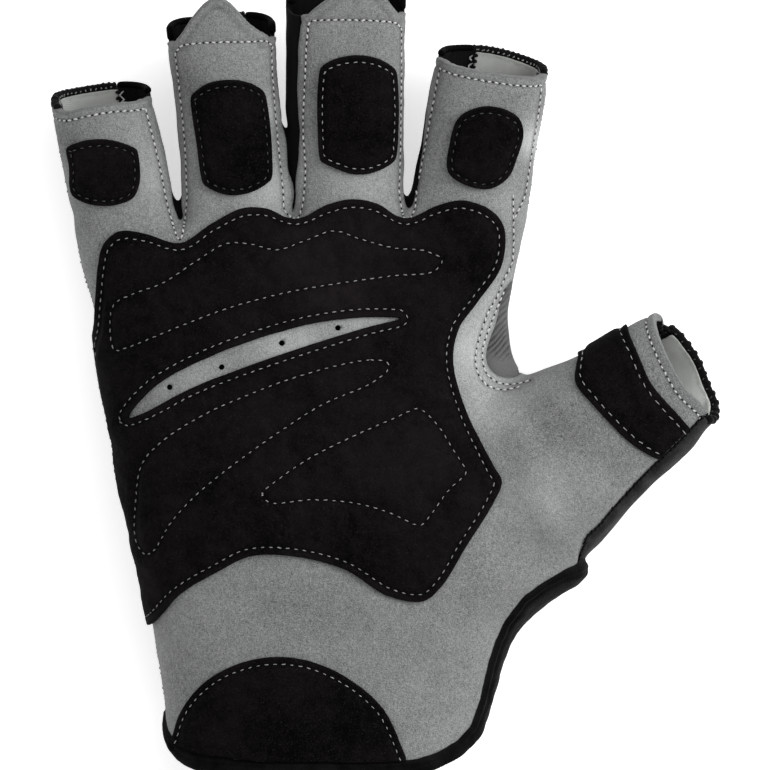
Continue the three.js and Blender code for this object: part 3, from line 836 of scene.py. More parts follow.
    def to_object(self, name: str, finish: "Finish", lining: "Finish | None" = None) -> Piece:
        """Makes the skin a Blender object at the origin, in metres.

        Args:
            name: The piece's name.
            finish: Its finish.
            lining: The finish of its hidden side, where that differs.

        Returns:
            The new object.
        """
        mesh = bpy.data.meshes.new(name)
        mesh.vertices.add(len(self.points))
        mesh.vertices.foreach_set("co", in_frame(self.points).astype(np.float32).ravel())
        mesh.loops.add(self.faces.size)
        mesh.loops.foreach_set("vertex_index", self.faces.astype(np.int32).ravel())
        mesh.polygons.add(len(self.faces))
        mesh.polygons.foreach_set("loop_start", np.arange(0, self.faces.size, 3, dtype=np.int32))
        mesh.update(calc_edges=True)
        mesh.validate()
        mesh.shade_smooth()
        for mark, usual in ((EDGE_MARK, FAR), (STITCH_SHADE_MARK, FAR), (PAINTED_LIGHT_MARK, 0.0)):
            values = self.marks.get(mark, np.full(len(self.points), usual))
            attribute = mesh.attributes.new(mark, "FLOAT", "POINT")
            attribute.data.foreach_set("value", values.astype(np.float32))
        mesh.materials.append(finish.material())
        if lining is not None:
            mesh.materials.append(lining.material())
            side = np.zeros(len(self.faces), np.int32)
            side[self.hidden : 2 * self.hidden] = 1
            mesh.polygons.foreach_set("material_index", side)
        return link(name, mesh)

    def publish(self, name: str, finish: "Finish", *nodes: str) -> Piece:
        """Makes the skin a finished piece that stands for some CAD nodes."""
        return declare(self.to_object(name, finish), finish, *nodes)


def unique_rows(pairs: Array) -> tuple[Array, Array]:
    """The two columns of the pairs that differ, and which of these each pair is."""
    unique, number = np.unique(pairs, axis=0, return_inverse=True)
    return unique.T, number.ravel()


def long_runs(runs: list[Run]) -> list[Run]:
    """The runs that are long enough for a row of stitches."""
    return [run for run in runs if len(run[0]) > SHORTEST_RUN]


def in_frame(points: Array) -> Array:
    """Places of the pattern in the frame's metres."""
    return (points - PATTERN_ORIGIN) * MM


def link(name: str, data: bpy.types.ID) -> Piece:
    """Puts an object in the scene."""
    piece = bpy.data.objects.new(name, data)
    bpy.context.scene.collection.objects.link(piece)
    return piece


def new_piece(name: str, points: Array, edges: Sequence = (), faces: Sequence = ()) -> Piece:
    """Makes an object of points with edges or faces."""
    mesh = bpy.data.meshes.new(name)
    mesh.from_pydata(points.tolist(), edges, faces)
    return link(name, mesh)


def plain_mesh(piece: Piece) -> Piece:
    """Replaces an object by a plain mesh of what its modifiers make of it."""
    graph = bpy.context.evaluated_depsgraph_get()
    mesh = bpy.data.meshes.new_from_object(piece.evaluated_get(graph), depsgraph=graph)
    name = piece.name
    bpy.data.objects.remove(piece)
    mesh.name = name
    return link(name, mesh)


def vertex_places(piece: Piece) -> Array:
    """Places of a piece's points."""
    places = np.zeros(len(piece.data.vertices) * 3, np.float32)
    piece.data.vertices.foreach_get("co", places)
    return places.reshape(-1, 3).astype(float)


@dataclass(frozen=True)
class Section:
    """One rounded cross-section of the form, between a left and a right point."""

    left: Array
    right: Array
    above: float
    below: float
    curl: float

    @property
    def middle(self) -> Array:
        """The section's middle."""
        return (self.left + self.right) / 2

    def axes(self) -> tuple[Array, Array, Array]:
        """Unit directions across the section, up out of the palm, and along the digit."""
        across = (self.right - self.left) / np.linalg.norm(self.right - self.left)
        heading = np.array((-across[1], across[0], 0.0))
        curl = math.radians(self.curl)
        up = np.array((0, 0, math.cos(curl))) - math.sin(curl) * heading
        along = np.array((0, 0, math.sin(curl))) + math.cos(curl) * heading
        return across, up, along

    def aside(self, points: Array) -> Array:
        """How far points lie to the right of the middle."""
        return (points - self.middle) @ self.axes()[0]

    def behind(self, points: Array) -> Array:
        """How far points lie behind the section."""
        return (self.middle - points) @ self.axes()[2]

    def outline(self, angles: Array, squareness: float) -> Array:
        """Points of the outline at angles from the right-hand edge.

        Args:
            angles: The angles, anticlockwise.
            squareness: 2 is an ellipse, and more is squarer.

        Returns:
            The points.
        """
        across, up, _ = self.axes()
        half = np.linalg.norm(self.right - self.left) / 2
        cosine, sine = np.cos(angles), np.sin(angles)
        reach = np.where(sine >= 0, self.above, self.below)
        sideways = np.sign(cosine) * np.abs(cosine) ** (2 / squareness) * half
        upwards = np.sign(sine) * np.abs(sine) ** (2 / squareness) * reach
        return self.middle + sideways[:, None] * across + upwards[:, None] * up

    def shifted(self, distance: float) -> "Section":
        """The section moved along its digit."""
        step = self.axes()[2] * distance
        return Section(self.left + step, self.right + step, self.above, self.below, self.curl)


def ring_faces(rings: int, sides: int, start: int = 0) -> list[list[int]]:
    """Faces of a closed solid whose points lie in rings, as lists of point numbers from start on."""
    last = start + (rings - 1) * sides
    faces = [list(range(start, start + sides)), list(range(last + sides - 1, last - 1, -1))]
    for ring in range(start, last, sides):
        for side in range(sides):
            here, after = ring + side, ring + (side + 1) % sides
            faces.append([here, here + sides, after + sides, after])
    return faces


@dataclass
class HandForm:
    """The rounded form that a hand has given the glove, whose surface carries every panel."""

    palm_sides: int = 80
    digit_sides: int = 48
    palm_steps: int = 3
    digit_steps: int = 4
    overrun: float = 5.0  # how far a digit goes on past its rim, before the rim is cut
    thumb_middle: Span = (71, 84.8)
    thumb_heading: float = math.radians(38.9)
    thumb_level: float = 22.4
    thumb_climb: float = 0.13
    thumb_reach: float = 17
    thumb_lift: float = 9.2  # on the wrist's side, where the back leather shows
    thumb_dip: float = 0.6
    thumb_from: Span = (44, 60)  # the lift grows between these two places
    thumb_above: Span = (45, 60.5)  # and between these heights over the wrist
    thumb_below: Span = (117, 125)  # and fades out between these

    def palm_sections(self) -> list[Section]:
        """Sections of the hand's body."""
        return [
            Section(
                np.array((row["left"], row["y"], row["side"])),
                np.array((row["right"], row["y"] + row["slant"], row["side"])),
                row["crown"] - row["side"],
                row["side"] - row["base"],
                0.0,
            )
            for row in smooth_rows(PALM, self.palm_steps)
        ]

    def digit_sections(self, digit: Digit) -> list[Section]:
        """Sections of a digit, also of the stretch under its pull tab."""
        return [
            Section(
                np.array((row["leftX"], row["leftY"], row["level"])),
                np.array((row["rightX"], row["rightY"], row["level"])),
                row["thick"] / 2,
                row["thick"] / 2,
                row["curl"],
            )
            for row in smooth_rows(DIGITS[digit.value], self.digit_steps)
        ]

    def rim(self, digit: Digit) -> Section:
        """The section at a digit's rim."""
        return self.digit_sections(digit)[-1 - (self.digit_steps if digit in TABBED else 0)]

    def seam_height(self, plan: Array) -> Array:
        """Height of the surface that parts the front from the back."""
        x, y = plan.T
        level = along_y(y, smooth_rows(SEAM, 6), "z")
        sine, cosine = math.sin(self.thumb_heading), math.cos(self.thumb_heading)
        east, north = x - self.thumb_middle[0], y - self.thumb_middle[1]
        along = east * cosine + north * sine
        tilt = np.clip((east * sine - north * cosine) / self.thumb_reach, -self.thumb_dip, 1)
        on_thumb = self.thumb_level + self.thumb_climb * along + self.thumb_lift * tilt
        share = smoothstep(*self.thumb_from, x) * smoothstep(*self.thumb_above, y)
        return level + (on_thumb - level) * (share * (1 - smoothstep(*self.thumb_below, y)))

    def blended(self) -> Skin:
        """All lofts joined, smoothed and laid on the flat."""
        lofts = [(self.palm_sections(), PALM_SQUARENESS, self.palm_sides)]
        for digit in Digit:
            sections = self.digit_sections(digit)
            sections.append(sections[-1].shifted(self.overrun))
            lofts.append((sections, DIGIT_SQUARENESS, self.digit_sides))
        points: list[Array] = []
        faces: list[list[int]] = []
        for sections, squareness, sides in lofts:
            faces += ring_faces(len(sections), sides, sum(map(len, points)))
            angles = 2 * np.pi * np.arange(sides) / sides
            points += [section.outline(angles, squareness) for section in sections]
        form = new_piece("form", np.vstack(points) * MM, faces=faces)
        remesh = form.modifiers.new("cells", "REMESH")
        remesh.mode = "VOXEL"
        remesh.voxel_size = VOXEL * MM
        form = plain_mesh(form)
        form.data.calc_loop_triangles()
        triangles = np.zeros(len(form.data.loop_triangles) * 3, np.int32)
        form.data.loop_triangles.foreach_get("vertices", triangles)
        triangles = triangles.reshape(-1, 3).astype(np.int64)
        places = vertex_places(form) / MM
        bpy.data.objects.remove(form)
        corners = places[triangles]
        if (corners[:, 0] * np.cross(corners[:, 1], corners[:, 2])).sum() < 0:
            triangles = triangles[:, ::-1]
        skin = Skin(places, triangles)
        skin = Skin(evened(places, skin.edges(), SMOOTHING), triangles).moved(REGROWTH)
        return self.laid(skin)

    def laid(self, skin: Skin) -> Skin:
        """The form after slow waves and soft folds are added and the back is pressed flat."""
        points, plan = skin.points, skin.plan
        shift = 0.5 * (waves(points, 15.0) + 0.4 * waves(points, 6.0, (7, 3, 1)))
        top = points[:, 2] > self.seam_height(plan)
        for fold in FOLDS:
            line = np.array([(fold["x0"], fold["y0"]), (fold["x1"], fold["y1"])])
            shift += top * fold["height"] * bell(line_distance(plan, line), fold["width"])
        skin = skin.moved(shift)
        floor = FLOOR_RISE * (1 - smoothstep(*FLOOR_STEP, skin.points[:, 1]))
        skin.points[:, 2] = -soft_min(-skin.points[:, 2], -floor, 1.2)
        return skin

    def strip_field(self, rows: list[Row], points: Array) -> Array:
        """Distance into the band of a side strip, negative outside it."""
        x, y, z = points.T
        at = {name: along_y(y, rows, name) for name in rows[0]}
        share = smoothstep(-1.3, 1.3, x - at["split"])
        head = at["headLeft"] + (at["headRight"] - at["headLeft"]) * share
        across = np.minimum(x - at["left"], at["right"] - x)
        upright = soft_min(z - at["foot"], head - z, 0.5)
        return np.minimum(across, soft_min(upright, y - rows[0]["y"], 2.0))

    def rim_fields(self, points: Array, above_seam: Array) -> dict[str, Array]:
        """Distance of each point before the rim of its own digit.

        Args:
            points: The points.
            above_seam: Their height above the seam.

        Returns:
            The distances, by the digit's mark.
        """
        near, ahead = [], []
        for digit in Digit:
            sections = self.digit_sections(digit)
            sections.append(sections[-1].shifted(2 * self.overrun))
            line = np.array([section.middle for section in sections])
            near.append(line_distance(points, line, 60.0))
            ahead.append(self.rim(digit).behind(points))
        owner = np.argmin(near, axis=0)
        for lobe in LOBES:
            gap = np.linalg.norm(points[:, :2] - (lobe["x"], lobe["y"]), axis=1)
            own_side = smoothstep(-0.5, 0.5, above_seam * lobe["side"])
            reach = lobe["reach"] * bell(gap, lobe["width"]) * own_side
            ahead = [distance + reach for distance in ahead]
        return {
            digit.mark: np.where(owner == number, np.minimum(ahead[number], FAR), FAR)
            for number, digit in enumerate(Digit)
        }

    def build(self) -> Skin:
        """The whole form's skin, with the distances that the panels are cut by.

        Returns:
            A closed skin. Its marks say how far each point lies above the seam, inside the wrist's edge,
            inside each zone and before each rim.
        """
        skin = self.blended()
        points, plan, marks = skin.points, skin.plan, skin.marks
        height = points[:, 2]
        marks["seam"] = height - self.seam_height(plan)
        mouth = np.array([(row["y"], row["z"]) for row in MOUTH] + [(FAR * 9, -20), (FAR * 9, 70)])
        level = height + MOUTH_FILL * smoothstep(20, 36, -points[:, 0])
        marks["mouth"] = outline_distance(np.column_stack([points[:, 1], level]), mouth)
        side = np.minimum(outline_distance(plan, OUTLINES["side_edge"]), height - ZONE_BASE)
        marks["binding"] = np.maximum(BINDING_WIDTH - marks["mouth"], side)
        gusset = outline_distance(plan, smooth_outline(OUTLINES["gusset"]))
        marks["gusset"] = soft_min(gusset, height - ZONE_BASE, 1.5)
        strips = {f"strip_{name}": self.strip_field(rows, points) for name, rows in STRIPS.items()}
        rims = self.rim_fields(points, marks["seam"])
        marks |= strips | rims
        marks["strips"] = np.maximum.reduce(list(strips.values()))
        marks["rim"] = lowest(*rims.values())
        return skin


class Draper:
    """Lays lines on a skin."""

    def __init__(self, skin: Skin) -> None:
        """Takes the skin that lines are laid on."""
        self.tree = BVHTree.FromPolygons(skin.points.tolist(), skin.faces.tolist())

    def drop(self, plan: Array, height: float = 90.0, steep: float = 0.12, jump: float = 2.5) -> list[Run]:
        """Lays a line of the pattern on the skin from above.

        Args:
            plan: The line's points as seen from the palm side.
            height: Where the points fall from.
            steep: A surface whose normal rises less than this is left out.
            jump: A step in height that ends a stretch.

        Returns:
            The stretches that met the skin.
        """
        stretches: list[list] = [[]]
        for x, y in plan.tolist():
            place, normal, _, _ = self.tree.ray_cast(Vector((x, y, height)), Vector((0, 0, -1)))
            lost = place is None or normal.z < steep
            here = stretches[-1]
            if lost or here and abs(place.z - here[-1][0][2]) > jump:
                stretches.append([])
            if not lost:
                stretches[-1].append((tuple(place), tuple(normal)))
        return long_runs([tuple(np.array(stretch).swapaxes(0, 1)) for stretch in stretches if stretch])

    def settle(self, line: Array) -> Run:
        """The nearest places on the skin to the points of a line, with their normals."""
        found = [self.tree.find_nearest(Vector(point)) for point in line.tolist()]
        return np.array([tuple(f[0]) for f in found]), np.array([tuple(f[1]) for f in found])


class Graph:
    """Adds nodes to a node tree and joins them."""

    def __init__(self, tree: bpy.types.NodeTree) -> None:
        """Takes the tree to build in."""
        self.tree = tree

    @classmethod
    def grouped(cls, name: str, kind: str, inputs: str, outputs: str) -> tuple["Graph", dict, dict]:
        """Makes a node tree with named sockets.

        Args:
            name: The tree's name.
            kind: The type of tree.
            inputs: Name and type of each input.
            outputs: Name and type of each output.

        Returns:
            The tree's graph, and its sockets for what comes in and what goes out.
        """
        tree = bpy.data.node_groups.new(name, kind)
        for direction, sockets in (("INPUT", inputs), ("OUTPUT", outputs)):
            for item in sockets.split(", "):
                label, socket = item.split(": ")
                tree.interface.new_socket(label, in_out=direction, socket_type=f"NodeSocket{socket}")
        graph = cls(tree)
        return graph, graph.add("NodeGroupInput").outputs, graph.add("NodeGroupOutput").inputs

    def add(self, kind: str, inputs: dict | None = None, **settings: object) -> bpy.types.Node:
        """Adds one node.

        Args:
            kind: The node's type.
            inputs: What each input, by name or number, holds or is joined to.
            settings: The node's own options.

        Returns:
            The new node.
        """
        node = self.tree.nodes.new(kind)
        for name, value in settings.items():
            setattr(node, name, value)
        self.join(node.inputs, inputs or {})
        return node

    def join(self, sockets: dict, values: dict) -> None:
        """Joins outputs to inputs, or sets inputs to plain values, by their names or numbers."""
        for name, value in values.items():
            if isinstance(value, bpy.types.Node):
                value = value.outputs[0]
            if isinstance(value, bpy.types.NodeSocket):
                self.tree.links.new(value, sockets[name])
            else:
                sockets[name].default_value = value

    def math(self, operation: str, first: object, *others: object) -> Socket:
        """The output of Math nodes that take up one value after the other."""
        for value in others:
            first = self.add("ShaderNodeMath", {0: first, 1: value}, operation=operation).outputs[0]
        return first

    def swing(self, value: object, amount: object, gain: float = 1.0) -> Socket:
        """A level between 0 and 1 as a swing round zero of some amount times some gain."""
        reach = self.math("MULTIPLY", amount, gain)
        return self.math("MULTIPLY", self.math("SUBTRACT", value, 0.5), reach)

    def noise(self, place: object, scale: float, detail: float, roughness: float = 0.5) -> Socket:
        """The level of a noise texture."""
        inputs = {"Vector": place, "Scale": scale, "Detail": detail, "Roughness": roughness}
        return self.add("ShaderNodeTexNoise", inputs).outputs[0]

    def wave(self, place: object, scale: object, distortion: float, detail: float, way: str) -> Socket:
        """The level of a wave texture."""
        inputs = {"Vector": place, "Scale": scale, "Distortion": distortion, "Detail": detail}
        return self.add("ShaderNodeTexWave", inputs, bands_direction=way).outputs[1]

    def ranged(self, value: object, low: float, high: float, start: float = 0.0, end: float = 1.0) -> Socket:
        """A value from one range carried over to another."""
        return self.add("ShaderNodeMapRange", {"Value": value, 1: low, 2: high, 3: start, 4: end}).outputs[0]

    def scaled(self, vector: object, scale: object) -> Socket:
        """A colour or vector times a number."""
        return self.add("ShaderNodeVectorMath", {0: vector, "Scale": scale}, operation="SCALE").outputs[0]

    def blend(self, share: object, first: object, second: object) -> Socket:
        """A mix of two colours."""
        return self.add("ShaderNodeMix", {0: share, 6: first, 7: second}, data_type="RGBA").outputs[2]

    def mark(self, name: str) -> Socket:
        """The value of one of a mesh's marks."""
        return self.add("ShaderNodeAttribute", attribute_name=name).outputs["Fac"]


class Effects:
    """Shader node groups that several finishes share, each built once."""

    @cache
    def group(self, name: str) -> bpy.types.NodeTree:
        """The group of that name."""
        return getattr(self, f"_{name}")().tree

    def _start(self, name: str, inputs: str, outputs: str = "Color: Color, Height: Float") -> tuple:
        """A new shader group with a place input."""
        return Graph.grouped(name, "ShaderNodeTree", f"Vector: Vector, {inputs}", outputs)

    def _nap(self) -> Graph:
        """Brushed suede: fine flecks, streaks of nap, and slow clouds."""
        inputs = "Tone: Color, Fleck Tone: Color, Contrast: Float, Flecks: Float, Clouds: Float"
        graph, given, out = self._start("suede nap", inputs)
        place = given["Vector"]
        turned = {"Vector": place, "Rotation": (0, 0, 0.7), "Scale": (1, 0.7, 1)}
        fine = graph.noise(place, 3100, 2, 0.65)
        tufts = graph.noise(graph.add("ShaderNodeMapping", turned), 1350, 3, 0.6)
        broad, mottle = graph.noise(place, 62, 3), graph.noise(place, 420, 3)
        clouds = graph.add("ShaderNodeMix", {0: 0.4, 2: broad, 3: mottle}).outputs[0]
        nap = graph.math("ADD", graph.math("MULTIPLY", fine, 0.7), graph.math("MULTIPLY", tufts, 0.3))
        swing = graph.swing(nap, given["Contrast"], 5.0)
        drift = graph.swing(clouds, given["Clouds"], 4.0)
        # the painted light and shade mark lightens or darkens the nap's tone
        level = graph.math("ADD", 1.0, graph.mark(PAINTED_LIGHT_MARK), swing, drift)
        toned = graph.scaled(given["Tone"], graph.math("MAXIMUM", level, 0.15))
        flecks = graph.ranged(graph.noise(place, 2300, 1), 0.62, 0.72)
        share = graph.math("MULTIPLY", flecks, given["Flecks"])
        graph.join(out, {"Color": graph.blend(share, toned, given["Fleck Tone"]), "Height": nap})
        return graph

    def _grain(self) -> Graph:
        """Smooth leather: small pebbles with fine creases between them."""
        outputs = "Color: Color, Height: Float, Roughness: Float"
        inputs = "Tone: Color, Contrast: Float, Pebble: Float"
        graph, given, out = self._start("leather grain", inputs, outputs)
        cells = {"Vector": given["Vector"], "Scale": given["Pebble"]}
        pebbles = graph.add("ShaderNodeTexVoronoi", cells, feature="DISTANCE_TO_EDGE")
        crease = graph.math("MULTIPLY", graph.ranged(pebbles, 0.0, 0.22), 0.5)
        creases = graph.noise(given["Vector"], 210, 5)
        height = graph.math("ADD", crease, graph.math("MULTIPLY", creases, 0.8))
        level = graph.math("ADD", 1.0, graph.swing(creases, given["Contrast"], 5.0))
        toned = graph.scaled(given["Tone"], graph.math("MAXIMUM", level, 0.3))
        rough = graph.ranged(height, 0.2, 0.9, 0.85, 0.65)
        graph.join(out, {"Color": toned, "Height": height, "Roughness": rough})
        return graph

    def _weave(self) -> Graph:
        """Knitted or woven cloth: fine ribs two ways, with soft uneven tone."""
        graph, given, out = self._start("cloth weave", "Tone: Color, Ribs: Float, Relief: Float")
        place = given["Vector"]
        ribs = [graph.wave(place, given["Ribs"], 0.6, 1, way) for way in ("X", "DIAGONAL")]
        height = graph.math("MULTIPLY", *ribs)
        soft = graph.math("ADD", 0.62, graph.math("MULTIPLY", graph.noise(place, 120, 3), 0.5))
        relief = graph.math("MULTIPLY", height, given["Relief"])
        # the painted light and shade mark lightens or darkens the cloth's tone
        level = graph.math("ADD", relief, soft, graph.mark(PAINTED_LIGHT_MARK))
        graph.join(out, {"Color": graph.scaled(given["Tone"], level), "Height": height})
        return graph

    def _twist(self) -> Graph:
        """Sewing thread: slanting strands with shade between them."""
        graph, given, out = self._start("thread twist", "Tone: Color, Shade: Color")
        strands = graph.wave(given["Vector"], 2600, 1.5, 2, "DIAGONAL")
        graph.join(out, {"Color": graph.blend(strands, given["Shade"], given["Tone"]), "Height": strands})
        return graph

    def _wear(self) -> Graph:
        """A tone that takes over near an edge or a seam, in an uneven line: real wear and fuzz on some
        finishes, painted shade on others.
        """
        inputs = "Color: Color, Tone: Color, Distance: Float, Width: Float, Strength: Float"
        graph, given, out = self._start("edge wear", inputs, "Color: Color")
        ragged = graph.swing(graph.noise(given["Vector"], 900, 3), given["Width"])
        share = graph.math("DIVIDE", graph.math("ADD", given["Distance"], ragged), given["Width"])
        mask = graph.ranged(share, 1.0, 0.0)
        mask.node.interpolation_type = "SMOOTHSTEP"
        strength = graph.math("MULTIPLY", mask, given["Strength"])
        graph.join(out, {"Color": graph.blend(strength, given["Color"], given["Tone"])})
        return graph


effects = Effects()


def opaque(tone: Tone) -> tuple[float, ...]:
    """A tone with full alpha."""
    return (*tone, 1.0)


class Recipe(NamedTuple):
    """What a finish is put together from."""

    effect: str  # the shared group that colours it
    values: dict[str, object]  # the group's inputs
    wear: list[tuple[str, Tone, float, float]]  # mark, tone, width in millimetres, and strength; some are real wear and fuzz, some painted shade
    shader: dict[str, float]  # the shader's inputs
    relief: Span  # depth in metres, and strength of the bump


@dataclass(frozen=True)
class Finish:
    """What every finish has.

    Attributes:
        name: The material's name.
        slot: The record's material slot.
        tone: The main tone.
    """

    name: str
    slot: str
    tone: Tone

    def recipe(self) -> Recipe:
        """How the finish is put together, which each kind of finish says for itself."""
        raise NotImplementedError

    @cache
    def material(self) -> bpy.types.Material:
        """The finish's material, made the first time."""
        recipe = self.recipe()
        material = bpy.data.materials.new(self.name)
        material.use_nodes = True
        graph = Graph(material.node_tree)
        place = graph.add("ShaderNodeTexCoord").outputs["Object"]
        values = {"Vector": place, "Tone": opaque(self.tone)} | recipe.values
        effect = graph.add("ShaderNodeGroup", node_tree=effects.group(recipe.effect))
        graph.join(effect.inputs, values)
        colour = effect.outputs["Color"]
        # the wear tones: real wear on leather edges and fuzz on black suede edges, painted shade on the
        # others
        for mark, tone, width, strength in recipe.wear:
            values = {"Color": colour, "Tone": opaque(tone), "Distance": graph.mark(mark)}
            values |= {"Width": width, "Strength": strength, "Vector": place}
            worn = graph.add("ShaderNodeGroup", node_tree=effects.group("wear"))
            graph.join(worn.inputs, values)
            colour = worn.outputs["Color"]
        depth, strength = recipe.relief
        relief = {"Height": effect.outputs["Height"], "Distance": depth, "Strength": strength}
        settings = {"Base Color": colour, "Normal": graph.add("ShaderNodeBump", relief)}
        if "Roughness" in effect.outputs:
            settings["Roughness"] = effect.outputs["Roughness"]
        shader = material.node_tree.nodes["Principled BSDF"]
        graph.join(shader.inputs, settings | recipe.shader)
        return material


@dataclass(frozen=True)
class SuedeFinish(Finish):
    """Brushed suede."""

    fleck: Tone
    contrast: float
    flecks: float
    clouds: float
    # Near the edges the edge tone takes over, and along the rows of stitches the seam tone. On grey suede
    # both are painted shade; on black suede the edge tone is the raw edges' lighter fuzz and the seam tone is
    # painted shade.
    edge: Tone
    edge_strength: float
    seam: Tone
    seam_strength: float
    sheen: float

    def recipe(self) -> Recipe:
        """How suede is put together."""
        values = {"Fleck Tone": opaque(self.fleck), "Contrast": self.contrast}
        values |= {"Flecks": self.flecks, "Clouds": self.clouds}
        # painted shade in the channels along the rows of stitches
        seam = (STITCH_SHADE_MARK, self.seam, 0.9, self.seam_strength)
        edge = (EDGE_MARK, self.edge, 0.5, self.edge_strength)
        shader = {"Roughness": 0.95, "Specular IOR Level": 0.05}
        shader |= {"Sheen Weight": self.sheen, "Sheen Roughness": 0.55}
        return Recipe("nap", values, [seam, edge], shader, (0.00045, 0.9))


@dataclass(frozen=True)
class LeatherFinish(Finish):
    """Smooth leather with a soft sheen."""

    contrast: float
    pebble: float
    worn: Tone
    worn_strength: float
    depth: float
    gloss: float

    def recipe(self) -> Recipe:
        """How leather is put together."""
        values = {"Contrast": self.contrast, "Pebble": self.pebble}
        edge = (EDGE_MARK, self.worn, 0.8, self.worn_strength)
        return Recipe("grain", values, [edge], {"Specular IOR Level": self.gloss}, (self.depth, 0.7))


@dataclass(frozen=True)
class ClothFinish(Finish):
    """Knitted or woven cloth."""

    ribs: float
    sheen: float
    # The seam tone takes over near the edges and where the stitch shade mark is low: painted shade where the
    # cloth goes under the panels, near a lining's rim, and in the insert's ruches.
    seam: Tone
    relief: float = 0.25

    def recipe(self) -> Recipe:
        """How cloth is put together."""
        # painted shade near the edges and in the ruches
        wear = [(EDGE_MARK, self.seam, 1.6, 0.6), (STITCH_SHADE_MARK, self.seam, 1.1, 0.85)]
        shader = {"Roughness": 0.9, "Specular IOR Level": 0.1, "Sheen Weight": self.sheen}
        return Recipe("weave", {"Ribs": self.ribs, "Relief": self.relief}, wear, shader, (0.0002, 0.6))


@dataclass(frozen=True)
class ThreadFinish(Finish):
    """Twisted sewing thread."""

    shade: Tone
    roughness: float = 0.6
    gloss: float = 0.3

    def recipe(self) -> Recipe:
        """How thread is put together."""
        shader = {"Roughness": self.roughness, "Specular IOR Level": self.gloss}
        return Recipe("twist", {"Shade": opaque(self.shade)}, [], shader, (0.00012, 0.7))


# edge and seam tones: painted shade at the edges and along the rows of stitches
GREY_SUEDE = SuedeFinish(
    "grey suede", "grey_suede", (0.211, 0.217, 0.214), (0.44, 0.45, 0.445), 0.6, 0.38, 0.16,
    edge=(0.11, 0.112, 0.112), edge_strength=0.5, seam=(0.09, 0.09, 0.09), seam_strength=0.4, sheen=0.06,
)
# edge tone: the raw edges' lighter fuzz; seam tone: painted shade along the rows
BLACK_SUEDE = SuedeFinish(
    "black suede", "black_suede", (0.0036, 0.0029, 0.0032), (0.02, 0.016, 0.016), 1.0, 0.5, 1.2,
    edge=(0.011, 0.0105, 0.0103), edge_strength=0.5, seam=(0.0015, 0.0015, 0.0015), seam_strength=0.5,
    sheen=0.0,
)
CHARCOAL_LEATHER = LeatherFinish(
    "charcoal leather", "charcoal_leather", (0.014, 0.0142, 0.0146), 0.9, 1100,
    worn=(0.04, 0.04, 0.041), worn_strength=0.35, depth=0.0002, gloss=0.13,
)
BLACK_LEATHER = LeatherFinish(
    "black leather", "black_leather", (0.0033, 0.0032, 0.0034), 0.8, 1300,
    worn=(0.009, 0.009, 0.009), worn_strength=0.3, depth=0.0002, gloss=0.035,
)
JET_EDGE = LeatherFinish(
    "jet edge", "black_thread", (0.0013, 0.0012, 0.0013), 0.4, 1500,
    worn=(0.002, 0.002, 0.002), worn_strength=0.2, depth=0.0001, gloss=0.025,
)
# each cloth's last tone is painted shade near its edges and in its ruches
BLACK_KNIT = ClothFinish(
    "black knit", "black_knit", (0.0042, 0.0041, 0.0043), 900, 0.0, (0.002, 0.002, 0.002)
)
GREY_STRETCH = ClothFinish(
    "grey stretch cloth", "grey_stretch", (0.115, 0.116, 0.116), 1300, 0.05, (0.018, 0.018, 0.018)
)
PALE_LINING = ClothFinish(
    "pale lining", "pale_lining", (0.455, 0.466, 0.448), 1100, 0.1, (0.2, 0.21, 0.19), relief=0.06
)
WHITE_THREAD = ThreadFinish("white thread", "white_thread", (0.78, 0.78, 0.77), (0.42, 0.42, 0.415))
# pale and dull thread also make the painted highlights between the overlock's beads
PALE_THREAD = ThreadFinish("pale thread", "white_thread", (0.42, 0.42, 0.41), (0.16, 0.16, 0.155))
DULL_THREAD = ThreadFinish("dull thread", "white_thread", (0.11, 0.11, 0.108), (0.02, 0.02, 0.02), 0.65)
BLACK_THREAD = ThreadFinish(
    "black thread", "black_thread", (0.0036, 0.0036, 0.0036), (0.0012, 0.0012, 0.0012), gloss=0.08
)
# small dark balls between the stitches: painted shade in the stitch holes
NEEDLE_HOLE_SHADE = ThreadFinish(
    "needle hole", "black_thread", (0.009, 0.009, 0.009), (0.005, 0.005, 0.005), 0.9, gloss=0.02
)


def declare(piece: Piece, finish: Finish, *nodes: str) -> Piece:
    """Joins a finished piece to the frame and reports it.

    Args:
        piece: The piece.
        finish: Its finish. Not used.
        nodes: The CAD nodes that it stands for.

    Returns:
        The piece.
    """
    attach(piece, "root")
    if nodes:
        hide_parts(*nodes)
    log.info("%s: %d faces", piece.name, len(piece.data.polygons))
    return piece


